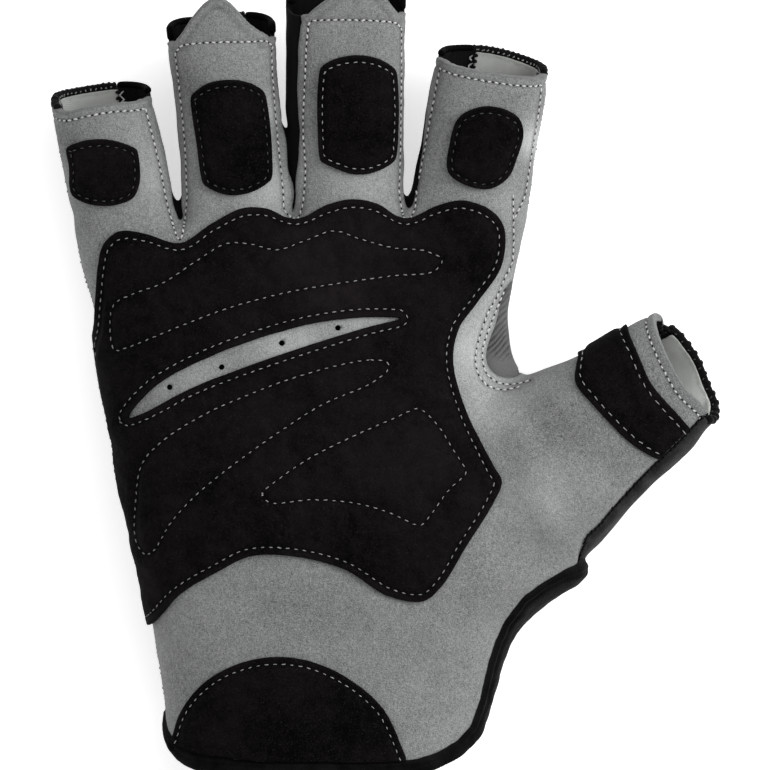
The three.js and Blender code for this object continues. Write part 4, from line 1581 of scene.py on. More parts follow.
class Repeats:
    """A tree of Geometry Nodes that places small shapes along seams and edges."""

    LENGTHS = ("Pitch", "Size", "Between", "Shift")  # the inputs that are given in millimetres

    def __init__(self) -> None:
        """Builds the tree: shapes on every other mark of a line, and smaller ones between them."""
        inputs = (
            "Line: Geometry, Pitch: Float, Size: Vector, Turn: Float, Unevenness: Float, Between: Vector, "
            "Shift: Vector, Seed: Int, Thread: Material, Filling: Material"
        )
        kind, outputs = "GeometryNodeTree", "Geometry: Geometry"
        graph, given, out = Graph.grouped("repeats on a line", kind, inputs, outputs)
        self.tree = graph.tree
        curve = graph.add("GeometryNodeMeshToCurve", {"Mesh": given["Line"]})
        along = {"Curve": curve, "Length": graph.math("MULTIPLY", given["Pitch"], 0.5)}
        marks = graph.add("GeometryNodeResampleCurve", along, mode="LENGTH")
        normal = graph.add("GeometryNodeInputNamedAttribute", {"Name": NORMAL_MARK}, data_type="FLOAT_VECTOR")
        tangent = graph.add("GeometryNodeInputTangent")
        axes = {"Primary Axis": normal.outputs["Attribute"], "Secondary Axis": tangent}
        upright = graph.add("FunctionNodeAxesToRotation", axes, primary_axis="Z", secondary_axis="X")
        spread = graph.add("ShaderNodeCombineXYZ", dict.fromkeys(range(3), given["Unevenness"]))
        wobble = graph.add("FunctionNodeRandomValue", data_type="FLOAT_VECTOR")
        graph.join(wobble.inputs, {0: graph.scaled(spread, -1.0), 1: spread, "Seed": given["Seed"]})
        turn = graph.add("ShaderNodeCombineXYZ", {2: given["Turn"]})
        turned = graph.add("ShaderNodeVectorMath", {0: turn, 1: wobble}, operation="ADD")
        tilt = graph.add("FunctionNodeEulerToRotation", {0: turned})
        rotation = graph.add("FunctionNodeRotateRotation", {0: upright, 1: tilt}, rotation_space="LOCAL")
        odd = graph.math("MODULO", graph.add("GeometryNodeInputIndex"), 2.0)
        even = graph.math("SUBTRACT", 1.0, odd)
        stretch = graph.add(
            "FunctionNodeRandomValue", {2: 0.86, 3: 1.1, "Seed": given["Seed"]}, data_type="FLOAT"
        ).outputs[1]
        shape = self._ball(graph, 9, 7, {"Scale": given["Size"]})
        grain = self._ball(graph, 6, 4, {"Translation": given["Shift"], "Scale": given["Between"]})
        joined = graph.add("GeometryNodeJoinGeometry")
        for own, material in (
            ({"Selection": even, "Instance": shape, "Scale": stretch}, "Thread"),
            ({"Selection": odd, "Instance": grain}, "Filling"),
        ):
            placed = graph.add("GeometryNodeInstanceOnPoints", {"Points": marks, "Rotation": rotation} | own)
            real = graph.add("GeometryNodeRealizeInstances", {"Geometry": placed})
            dressed = graph.add("GeometryNodeSetMaterial", {"Geometry": real, "Material": given[material]})
            graph.join(joined.inputs, {0: dressed})
        graph.join(out, {"Geometry": joined})

    def _ball(self, graph: Graph, segments: int, rings: int, change: dict[str, Socket]) -> bpy.types.Node:
        """A small ball with some change of size or place."""
        size = {"Segments": segments, "Rings": rings, "Radius": 0.5}
        ball = graph.add("GeometryNodeMeshUVSphere", size)
        return graph.add("GeometryNodeTransform", {"Geometry": ball} | change)

    def lay(
        self, name: str, runs: list[Run], thread: Finish, filling: Finish, nodes: Sequence[str] = (),
        **values: object,
    ) -> None:
        """Runs the tree along some lines and makes the result a plain mesh.

        Args:
            name: The new piece's name.
            runs: The lines, in millimetres.
            thread: The finish of the shapes.
            filling: The finish of the smaller shapes between them.
            nodes: The CAD nodes that the piece stands for.
            values: The tree's other inputs.
        """
        places, normals = (np.vstack(column) for column in zip(*runs))
        ends = set(np.cumsum([len(run[0]) for run in runs]).tolist())
        edges = [(i - 1, i) for i in range(1, len(places)) if i not in ends]
        piece = new_piece(name, in_frame(places), edges)
        attribute = piece.data.attributes.new(NORMAL_MARK, "FLOAT_VECTOR", "POINT")
        attribute.data.foreach_set("vector", normals.astype(np.float32).ravel())
        modifier = piece.modifiers.new("repeats", "NODES")
        modifier.node_group = self.tree
        values |= {"Thread": thread.material(), "Filling": filling.material()}
        for item in self.tree.interface.items_tree:
            if item.in_out == "INPUT" and item.name in values:
                value = values[item.name]
                if item.name in self.LENGTHS:
                    value = np.multiply(value, MM).tolist()
                modifier[item.identifier] = value
        piece = plain_mesh(piece)
        piece.data.shade_smooth()
        declare(piece, thread, *nodes)


@dataclass(frozen=True)
class Sewing:
    """How a row of running stitches looks."""

    pitch: float
    length: float
    width: float
    height: float
    # size of the dark balls of painted shade in the stitch holes
    hole: float
    thread: ThreadFinish
    lift: float = 0.06
    unevenness: float = 0.16
    turn: float = 0.0

    def lay(self, repeats: Repeats, name: str, runs: list[Run], seed: int) -> None:
        """Sews rows of stitches with small dark balls between them, painted shade in the stitch holes.

        Args:
            repeats: The tree.
            name: The new piece's name.
            runs: Where the rows run.
            seed: Seed of their unevenness.
        """
        raised = [(places + normals * self.lift, normals) for places, normals in runs]
        repeats.lay(
            name, raised, self.thread, NEEDLE_HOLE_SHADE, Pitch=self.pitch, Turn=self.turn, Seed=seed,
            Size=(self.length, self.width, self.height), Unevenness=self.unevenness,
            Between=(self.hole, self.hole, self.hole / 2),
        )


SEWING = {
    Ground.PALM: Sewing(2.1, 1.05, 0.27, 0.3, 0.22, PALE_THREAD),
    Ground.PATCH: Sewing(2.2, 0.95, 0.24, 0.26, 0.2, DULL_THREAD, unevenness=0.24),
    Ground.GREY: Sewing(1.75, 1.1, 0.5, 0.4, 0.52, WHITE_THREAD, unevenness=0.4),
    Ground.BAND: Sewing(2.6, 1.5, 0.26, 0.28, 0.2, PALE_THREAD, unevenness=0.2),
    Ground.SEAM: Sewing(1.3, 1.7, 0.7, 0.7, 0.6, BLACK_THREAD, lift=0.42, unevenness=0.35, turn=1.1),
}


@dataclass
class Assembly:
    """What the sub-assemblies share: the form, its skin and the tree for what repeats."""

    form: HandForm
    skin: Skin
    repeats: Repeats


@dataclass
class Front(Assembly):
    """The grey suede front: palm, finger fronts and thumb front in one piece, with two pull tabs."""

    thickness: float = 1.2
    hem: float = 1.0  # what the folded hem adds at the rims
    hem_width: float = 3.2
    left_rows: dict[Digit, float] = field(default_factory=lambda: {
        Digit.RING: 1.3, Digit.INDEX: 1.6,
    })  # from a finger's outline to its left row
    right_rows: dict[Digit, float] = field(default_factory=lambda: {
        Digit.PINKY: 2.0, Digit.RING: 1.4, Digit.MIDDLE: 1.0, Digit.INDEX: 1.3,
    })
    rows_from: float = 141.0  # height over the wrist from which the side rows follow the outlines
    last_foot: Span = (51.4, 140.0)  # where the index's right row begins
    last_from: float = 143.0  # and the height from which it follows the outline
    hem_inset: float = 1.95
    tab_clear: float = 4.6  # where a side row ends before a tabbed rim
    rim_clear: float = 0.6  # and before another one
    hem_reach: dict[Digit, Span] = field(default_factory=lambda: {
        Digit.PINKY: (-11.6, 10.6), Digit.INDEX: (-12.5, 12.9), Digit.THUMB: (-14.6, 14.4),
    })  # how far each hem's row runs to the left and right of the digit's middle
    tab_lift: float = 6.0
    lap: float = 0.7  # thickness where the front laps over the strips and the insert
    seam_from: float = 2.2  # how far from the insert the side seam's thread begins

    def tab_field(self, skin: Skin, digit: Digit) -> Array:
        """Distance into a pull tab's outline, negative outside it."""
        outline = outline_distance(skin.plan, smooth_outline(OUTLINES[f"tab_{digit.value}"]))
        return np.minimum(outline, skin.marks["seam"] - self.tab_lift)

    def cut(self) -> Skin:
        """The front's outer surface with its edges."""
        skin = self.skin.trimmed(
            ("seam", 1, -FRONT_GAP), ("binding", -1, -SEAM_GAP), ("gusset", -1, 0), ("strips", -1, 0)
        )
        end = skin.marks["rim"].copy()
        for digit in TABBED:
            own = skin.marks[digit.mark] < FAR
            end = np.where(own, np.maximum(end, self.tab_field(skin, digit)), end)
        skin.marks["end"] = end
        return skin.clipped(end)

    def side_line(self, digit: Digit, right: bool) -> Array:
        """The plan line of a finger's side row, from the crotch to the rim."""
        if digit is Digit.MIDDLE and not right:
            return ROWS["middle_left"]
        inset = (self.right_rows if right else self.left_rows)[digit]
        line = []
        for section in self.form.digit_sections(digit):
            across = section.axes()[0][:2]
            line.append(section.right[:2] - across * inset if right else section.left[:2] + across * inset)
        rim = self.form.rim(digit)
        clear = self.tab_clear if digit in TABBED else self.rim_clear
        heading = rim.axes()[2][:2]
        return np.array([
            point for point in line
            if float((rim.middle[:2] - point) @ heading) > clear and point[1] > self.rows_from
        ])

    def rows(self) -> list[Array]:
        """The plan lines of all rows on the grey suede."""
        line = [self.side_line(Digit.PINKY, right=True)[::-1]]
        for digit, crotch in zip((Digit.RING, Digit.MIDDLE, Digit.INDEX), ROWS["crotches"]):
            line += [crotch[None], self.side_line(digit, right=False)]
            if digit in TABBED:
                line += [ROWS[f"tab_{digit.value}"], self.side_line(digit, right=True)[::-1]]
        last = self.side_line(Digit.INDEX, right=True)
        last = np.vstack([[self.last_foot], last[last[:, 1] > self.last_from]])
        lines = [np.vstack(line), ROWS["insert_outer"], ROWS["insert_inner"], last]
        return [smooth_outline(points, STITCH_STEP, closed=False) for points in lines]

    def hems(self, skin: Skin) -> list[Run]:
        """The rows along the folded hems."""
        runs = []
        for digit, (low, high) in self.hem_reach.items():
            behind = skin.clipped(skin.marks[digit.mark] - self.hem_inset)
            side = self.form.rim(digit).aside(behind.points)
            on_row = np.abs(behind.marks[digit.mark] - self.hem_inset) < ON_LINE
            runs += behind.border_runs(on_row & (side > low) & (side < high))
        return runs

    def below_hems(self, run: Run) -> Run:
        """The part of a side row that lies behind the hems' rows."""
        places, normals = run
        kept = np.ones(len(places), bool)
        for digit in (Digit.PINKY, Digit.INDEX):
            rim = self.form.rim(digit)
            far = np.linalg.norm(rim.middle - places, axis=1) > 20
            kept &= far | (rim.behind(places) > self.hem_inset + 0.3)
        return places[kept], normals[kept]

    def build(self) -> None:
        """Makes the front panel and its stitches."""
        skin = self.cut()
        marks = skin.marks
        seams = lowest(*(line_distance(skin.plan, line, 6.0) for line in self.rows()))
        hem = np.where(marks["rim"] < FAR, marks["end"], FAR)
        seams = np.minimum(seams, np.abs(hem - self.hem_inset))
        lap = np.minimum(-marks["gusset"], -marks["strips"])
        # distance to the edges, where the grey's edge tone is painted shade
        marks[EDGE_MARK] = lowest(lap, marks["end"], -marks["binding"], marks["seam"])
        # the distance to the rows, along which painted shade darkens the suede
        marks[STITCH_SHADE_MARK] = seams
        # painted light and shade on the grey suede
        marks[PAINTED_LIGHT_MARK] = painted_light_spots(skin.plan, GREY_PAINTED_LIGHT)
        rolled = SEAM_ROLL * (1 - smoothstep(0, ROLL_WIDTH, marks["seam"]))
        raised = 0.2 * (1 - smoothstep(0.5, 2.6, np.minimum(-marks["strips"], marks["end"])))
        skin = skin.moved(raised - rolled - 0.3 * bell(seams, 0.55))
        hemmed = 1 - smoothstep(self.hem_width - 1, self.hem_width, marks["rim"])
        thickness = self.thickness + self.hem * hemmed
        thickness -= (self.thickness - self.lap) * (1 - smoothstep(*LAP_WIDTH, lap))
        thickness -= 0.15 * (1 - smoothstep(*LAP_WIDTH, -marks["gusset"]))
        panel = skin.shell(thickness, bulge=0.3).to_object("suede_front", GREY_SUEDE, BLACK_KNIT)
        declare(self.pierced(panel), GREY_SUEDE, "palm_panel")
        on_seam = np.abs(marks["seam"] - FRONT_GAP) < ON_LINE
        joined = skin.border_runs(on_seam & (marks["gusset"] < -self.seam_from))
        SEWING[Ground.SEAM].lay(self.repeats, "side_seam_thread", joined, seed=9)
        draper = Draper(skin)
        runs = long_runs([self.below_hems(run) for line in self.rows() for run in draper.drop(line)])
        SEWING[Ground.GREY].lay(self.repeats, "stitches_front", runs + self.hems(skin), seed=3)

    def pierced(self, panel: Piece, sides: int = 20, low: float = 10.0, high: float = 60.0) -> Piece:
        """Cuts the four vent holes through the suede.

        Args:
            panel: The front panel.
            sides: Corners of each hole.
            low: Where the punches begin.
            high: Where they end.

        Returns:
            The panel with its holes.
        """
        points, faces = [], []
        for number, vent in enumerate(VENTS):
            for height in (low, high):
                for angle in (2 * math.pi * side / sides for side in range(sides)):
                    x, y = VENT_RADIUS * math.cos(angle), VENT_RADIUS * math.sin(angle)
                    points.append((vent["x"] + x, vent["y"] + y, height))
            faces += [face[:1] + face[:0:-1] for face in ring_faces(2, sides, number * 2 * sides)]
        punch = new_piece("vent punch", in_frame(np.array(points)), faces=faces)
        cut = panel.modifiers.new("vents", "BOOLEAN")
        cut.operation, cut.solver, cut.object = "DIFFERENCE", "MANIFOLD", punch
        name, before = panel.name, len(panel.data.polygons)
        pierced = plain_mesh(panel)
        bpy.data.objects.remove(punch)
        log.info("%s: vents changed %d faces to %d", name, before, len(pierced.data.polygons))
        return pierced


@dataclass
class Back(Assembly):
    """The charcoal leather back, the side strips and the stretch insert of the thumb's crotch."""

    thickness: float = 1.5
    lap: float = 0.7  # thickness where the back laps over the strips and the insert
    tuck: float = 1.6  # how far the strips and the insert reach under the panels
    strip_depth: float = 0.95
    strip_thickness: float = 0.8
    filling: float = 0.95  # how far the strip beside the middle finger fills the gap to the ring finger
    filling_from: Span = (158.0, 168.0)
    ruche_pitch: float = 1.2
    ruche_height: float = 0.7
    ruche_heading: float = math.radians(41)
    ruche_from: Span = (103.0, 107.5)  # between which the ruches set in
    tucked: float = 0.7  # how far the insert drops under the front
    insert_depth: float = 0.6
    insert_tip: Span = (112.0, 119.0)  # where the insert's depth fades out

    def build(self) -> None:
        """Makes the back, the three side strips and the insert."""
        self.panel()
        for name in STRIPS:
            self.strip(name)
        self.insert()

    def panel(self) -> None:
        """The back of hand, fingers and thumb."""
        skin = self.skin.trimmed(
            ("seam", -1, -SEAM_GAP), ("binding", -1, -SEAM_GAP), ("gusset", -1, 0), ("strips", -1, 0),
            ("rim", 1, 0),
        )
        marks = skin.marks
        lap = np.minimum(-marks["gusset"], -marks["strips"])
        marks[EDGE_MARK] = lowest(lap, marks["rim"], -marks["binding"], -marks["seam"])
        skin = skin.moved(-SEAM_ROLL * (1 - smoothstep(0, ROLL_WIDTH, -marks["seam"])))
        thinner = (self.thickness - self.lap) * (1 - smoothstep(*LAP_WIDTH, lap))
        solid = skin.shell(self.thickness - thinner, bulge=0.3)
        back = solid.to_object("leather_back", CHARCOAL_LEATHER, BLACK_KNIT)
        declare(back, CHARCOAL_LEATHER, "back_panel")

    def strip(self, name: str) -> None:
        """One side strip between two fingers."""
        skin = self.skin.trimmed((f"strip_{name}", 1, self.tuck), ("rim", 1, 0))
        inside = skin.marks[f"strip_{name}"]
        # distance from the edge, where painted shade darkens the strip as it goes under the panels
        skin.marks[EDGE_MARK] = inside + self.tuck
        rise = (self.strip_depth - 0.25) * smoothstep(0, 2.4, inside)
        if name == "ring_middle":
            x, y, _ = skin.points.T
            beside = smoothstep(0, 0.8, x - along_y(y, STRIPS[name], "split"))
            beside *= smoothstep(-0.1, 0.6, inside)
            rise += self.filling * beside * smoothstep(*self.filling_from, y)
        solid = skin.moved(rise - self.strip_depth).shell(self.strip_thickness, bulge=0.15, steps=3)
        solid.publish(f"side_strip_{name}", BLACK_KNIT, f"fourchette_{name}")

    def insert(self) -> None:
        """The stretch insert, drawn into slanting ruches by its seam."""
        skin = self.skin.trimmed(("gusset", 1, self.tuck)).refined().refined()
        inside = skin.marks["gusset"]
        # distance from the edge, where painted shade darkens the insert as it goes under the panels
        skin.marks[EDGE_MARK] = inside + 0.6
        x, y, z = skin.points.T
        cosine, sine = math.cos(self.ruche_heading), math.sin(self.ruche_heading)
        across = -x * sine + y * cosine + 0.1 * z
        phase = 2 * np.pi * (across / self.ruche_pitch + 0.45 * waves(skin.points, 5.0))
        ruche = 1 - 2 * (0.5 - 0.5 * np.sin(phase)) ** 4
        strong = 0.5 + 0.5 * waves(skin.points, 2.6, (9, 4, 2))
        fading = smoothstep(*self.ruche_from, y) * (0.4 + 0.9 * strong)
        fading *= smoothstep(0.02, 0.4, skin.normals[:, 2])
        depth = self.insert_depth * (1 - 0.85 * smoothstep(*self.insert_tip, y))
        shift = -depth * (1 - 0.9 * smoothstep(0, 1.8, inside))
        shift += self.ruche_height * (ruche - 0.7) * fading * smoothstep(-1.2, 0.6, inside)
        shift -= self.tucked * (1 - smoothstep(-0.5, 0.1, inside))
        # low in the ruches' troughs, where painted shade darkens the insert
        skin.marks[STITCH_SHADE_MARK] = 1.2 + 1.1 * ruche * np.minimum(fading, 1)
        solid = skin.moved(shift).shell(self.strip_thickness, bulge=0.15, steps=3)
        solid.publish("stretch_insert", GREY_STRETCH, "thumb_gusset")


@dataclass(frozen=True)
class Padding:
    """Soft filling under a piece, which lets the piece swell like cloth between its rows of stitches."""

    pressure: float = 6.0
    slack: float = 0.035  # how much wider the cloth is cut than its bed
    bending: float = 0.08
    frames: int = 20
    scale: float = 0.01  # of the simulation, for each millimetre
    most: float = 1.5  # the furthest a point moves
    passes: int = 4  # that smooth the movement on the finer surface

    def swollen(self, skin: Skin, held: Array) -> Skin:
        """Runs the cloth and marks how far each point moves.

        Args:
            skin: The piece's bed.
            held: Which points the stitches and the edges keep in place.

        Returns:
            The same skin with a mark for each axis of the movement.
        """
        piece = new_piece("padding", skin.points * self.scale, faces=skin.faces.tolist())
        piece.vertex_groups.new(name="held").add(np.flatnonzero(held).tolist(), 1.0, "REPLACE")
        cloth = piece.modifiers.new("swelling", "CLOTH")
        settings = cloth.settings
        settings.vertex_group_mass = "held"
        settings.use_pressure = True
        settings.uniform_pressure_force = self.pressure
        settings.shrink_min = -self.slack
        settings.bending_stiffness = self.bending
        settings.effector_weights.gravity = 0.0
        cloth.collision_settings.use_collision = False
        cloth.point_cache.frame_start, cloth.point_cache.frame_end = 1, self.frames
        scene = bpy.context.scene
        for step in range(1, self.frames + 1):
            scene.frame_set(step)
        result = plain_mesh(piece)
        shift = vertex_places(result) / self.scale - skin.points
        bpy.data.objects.remove(result)
        scene.frame_set(1)
        size = np.linalg.norm(shift, axis=1)
        log.info("padding: moved %.2f mm at most, %.2f mm on average", size.max(), size.mean())
        shift *= (self.most * np.tanh(size / self.most) / np.maximum(size, 1e-9))[:, None]
        marks = {f"swell_{axis}": shift[:, number] for number, axis in enumerate("xyz")}
        return Skin(skin.points, skin.faces, skin.marks | marks)

    def movement(self, skin: Skin) -> Array:
        """The movement that the marks of a finer skin hold, smoothed."""
        shift = np.column_stack([skin.marks[f"swell_{axis}"] for axis in "xyz"])
        return evened(shift, skin.edges(), self.passes)


@dataclass
class Overlays(Assembly):
    """The black suede overlays with their edge rows: palm pad, finger pads, thumb band and heel patch."""

    suede: float = 1.2
    band: float = 0.6  # the thumb band's suede, which is drawn tight
    gap: float = 0.25
    lift: float = 1.5  # how far above the side seam an overlay ends
    row_inset: float = 1.9
    pad_bulge: float = 0.35  # rounding of the pad's cut edges
    loft: float = 0.35  # how far the padded piece stands up before it swells
    channel: float = 0.5
    channel_width: float = 1.0
    side_row: Span = (44.0, 108.0)  # where the pad's edge runs round the hand's side
    calm: Span = (2.0, 13.0)  # heights over the side seam between which the swelling sets in
    padding: Padding = Padding()

    def build(self) -> None:
        """Makes every overlay and its rows."""
        self.palm_pad()
        for digit in (Digit.PINKY, Digit.RING, Digit.MIDDLE, Digit.INDEX):
            ground = Ground.PALM if digit is Digit.MIDDLE else Ground.PATCH
            self.patch(f"finger_pad_{digit.value}", 1.5, 0.25, ground)
        self.patch("thumb_band", 1.7, 0.3, Ground.BAND, self.band)
        self.patch("heel_patch", 1.7, 0.35, Ground.PALM)

    def row_distance(self, skin: Skin, rings: Sequence[Array]) -> Array:
        """Distance of each point to the nearest of some closed rows."""
        plan = self.top_plan(skin)
        return lowest(*(line_distance(plan, looped(ring)) for ring in rings))

    def bed(self, name: str, bulge: float, rings: Sequence[Array] = ()) -> Skin:
        """The fine surface under an overlay, with its outline cut.

        Args:
            name: The outline's name.
            bulge: How far the rounded edge will stand out.
            rings: The rows of stitches of a padded overlay, which swells between them.

        Returns:
            The surface, whose marks hold the swelling of a padded overlay.
        """
        outline = smooth_outline(OUTLINES[name])
        skin = self.skin.clipped(self.skin.marks["seam"] - self.lift + 0.8)
        skin = skin.clipped(outline_distance(skin.plan, outline) + 2.5)
        if rings:
            rows = self.row_distance(skin, rings)
            edge = outline_distance(self.top_plan(skin), outline)
            edge = np.minimum(edge, skin.marks["seam"] - self.lift)
            skin = self.padding.swollen(skin, (rows < 0.6) | (edge < 1.6) | (skin.marks["binding"] > -1.6))
        skin = skin.refined()
        skin = skin.clipped(skin.marks["seam"] - self.lift - bulge)
        skin = skin.clipped(-skin.marks["binding"] - SEAM_GAP - bulge)
        skin.marks["outline"] = outline_distance(self.top_plan(skin), outline)
        return skin.trimmed(("outline", 1, -bulge))

    def top_plan(self, skin: Skin) -> Array:
        """Where an overlay's upper side comes to lie, as seen from the palm side."""
        return skin.moved(self.gap + self.suede + 0.25).plan

    def side_line(self) -> Array:
        """A line in space beside the hand, along the row that follows the pad's edge round its side."""
        y = np.arange(*self.side_row, STITCH_STEP)
        x = along_y(y, PALM, "left") - self.suede
        level = self.form.seam_height(np.column_stack([x, y])) + self.lift + self.row_inset
        return np.column_stack([x, y, level])

    def palm_pad(self) -> None:
        """The padded palm overlay with its slit and three quilted rings."""
        bulge = self.pad_bulge
        pad, slit = (smooth_outline(OUTLINES[name], STITCH_STEP) for name in ("palm_pad", "slit"))
        rings = [inset_outline(pad, self.row_inset), inset_outline(slit, -self.row_inset)]
        rings += [smooth_outline(points, STITCH_STEP) for points in QUILTING.values()]
        skin = self.bed("palm_pad", bulge, rings)
        skin.marks["slit"] = -outline_distance(self.top_plan(skin), smooth_outline(OUTLINES["slit"]))
        skin = skin.trimmed(("slit", 1, -bulge))
        marks = skin.marks
        rows = self.row_distance(skin, rings)
        edge = lowest(marks["outline"], marks["slit"], marks["seam"] - self.lift, -marks["binding"])
        # painted shade along the quilted rows; the edge tone is the raw edges' lighter fuzz
        marks[EDGE_MARK], marks[STITCH_SHADE_MARK] = edge, rows
        # painted light on the palm pad's raised parts
        marks[PAINTED_LIGHT_MARK] = painted_light_spots(self.top_plan(skin), PAD_PAINTED_LIGHT)
        loft = self.loft * smoothstep(1.0, 4.5, edge)
        channels = self.channel * bell(rows, self.channel_width) * smoothstep(0.4, 2.0, edge)
        top = skin.moved(self.gap + self.suede + loft - channels + 0.04 * waves(skin.points, 1.6))
        calm = smoothstep(0.4, 2.4, edge) * smoothstep(*self.calm, marks["seam"])
        top.points += self.padding.movement(skin) * calm[:, None]
        solid = top.shell(self.suede + 0.15 + 0.5 * smoothstep(1, 4, edge), bulge=bulge)
        solid.publish("palm_pad_suede", BLACK_SUEDE, "palm_pad")
        draper = Draper(top)
        runs = [run for ring in rings for run in draper.drop(looped(ring))]
        runs.append(draper.settle(self.side_line()))
        SEWING[Ground.PALM].lay(self.repeats, "stitches_palm_pad", runs, seed=5)

    def patch(self, name: str, row_inset: float, bulge: float, ground: Ground, suede: float = 1.2) -> None:
        """A flat overlay with one row of stitches inside its edge.

        Args:
            name: The CAD node, which also names the outline.
            row_inset: Distance from the edge to the row.
            bulge: Rounding of the cut edge.
            ground: Which row of stitches it has.
            suede: How thick it is.
        """
        skin = self.bed(name, bulge)
        marks = skin.marks
        ring = inset_outline(smooth_outline(OUTLINES[name], STITCH_STEP), row_inset)
        rows = self.row_distance(skin, [ring])
        edge = lowest(marks["outline"], marks["seam"] - self.lift, -marks["binding"])
        # painted shade along the row; the edge tone is the raw edge's lighter fuzz
        marks[EDGE_MARK], marks[STITCH_SHADE_MARK] = edge, rows
        channel = 0.34 * bell(rows, 0.7) * smoothstep(0.3, 1.2, edge)
        top = skin.moved(self.gap + suede + 0.35 * smoothstep(0.5, 3.5, edge) - channel)
        top.shell(suede, bulge=bulge).publish(f"{name}_suede", BLACK_SUEDE, name)
        runs = Draper(top).drop(looped(ring))
        SEWING[ground].lay(self.repeats, f"stitches_{name}", runs, seed=11)


@dataclass
class Wrist(Assembly):
    """The binding of the wrist's edge and the plain strap behind it."""

    proud: float = 0.9
    wrap: float = 3.3  # thickness of the folded binding, wall included
    bulge: float = 1.3
    groove: float = 0.4
    groove_at: float = 1.3
    crumple: float = 0.16
    end: Span = (68.0, 51.8)  # where the binding ends below the thumb
    end_flare: float = 1.3
    end_reach: float = 5.0
    strap: float = 2.2
    strap_from: float = 20.0
    strap_to: float = 48.0
    strap_top: float = 6.5
    strap_bulge: float = 0.7

    def build(self) -> None:
        """Makes the binding and the strap."""
        self.binding()
        self.closure()

    def binding(self) -> None:
        """The leather folded round the wrist's edge and the slanting edge below the thumb."""
        skin = self.skin.trimmed(("mouth", 1, -self.bulge), ("binding", 1, SEAM_GAP)).refined()
        inside = skin.marks["binding"]
        skin.marks[EDGE_MARK] = np.minimum(inside, skin.marks["mouth"])
        gap = np.linalg.norm(skin.plan - self.end, axis=1)
        flare = self.end_flare * bell(gap, self.end_reach) * smoothstep(0, 1.5, inside)
        shift = self.proud * smoothstep(-0.2, 0.9, inside) - self.groove * bell(inside - self.groove_at, 0.35)
        shift += self.crumple * waves(skin.points, 2.4) + flare
        solid = skin.moved(shift).shell(self.wrap, bulge=self.bulge * 0.9, steps=7)
        solid.publish("leather_binding", BLACK_LEATHER, "wrist_binding")

    def closure(self) -> None:
        """The plain strap round the wrist's back, with a softened edge."""
        _, y, z = self.skin.points.T
        skin = Skin(self.skin.points, self.skin.faces)
        skin.marks[EDGE_MARK] = lowest(y - self.strap_from, self.strap_to - y, self.strap_top - z)
        skin = skin.trimmed((EDGE_MARK, 1, -0.8))
        shift = self.strap + 0.3 - 0.25 * bell(skin.marks[EDGE_MARK] - 2.6, 0.5)
        solid = skin.moved(shift).shell(self.strap - 0.1, bulge=self.strap_bulge)
        solid.publish("leather_strap", BLACK_LEATHER, "wrist_strap")


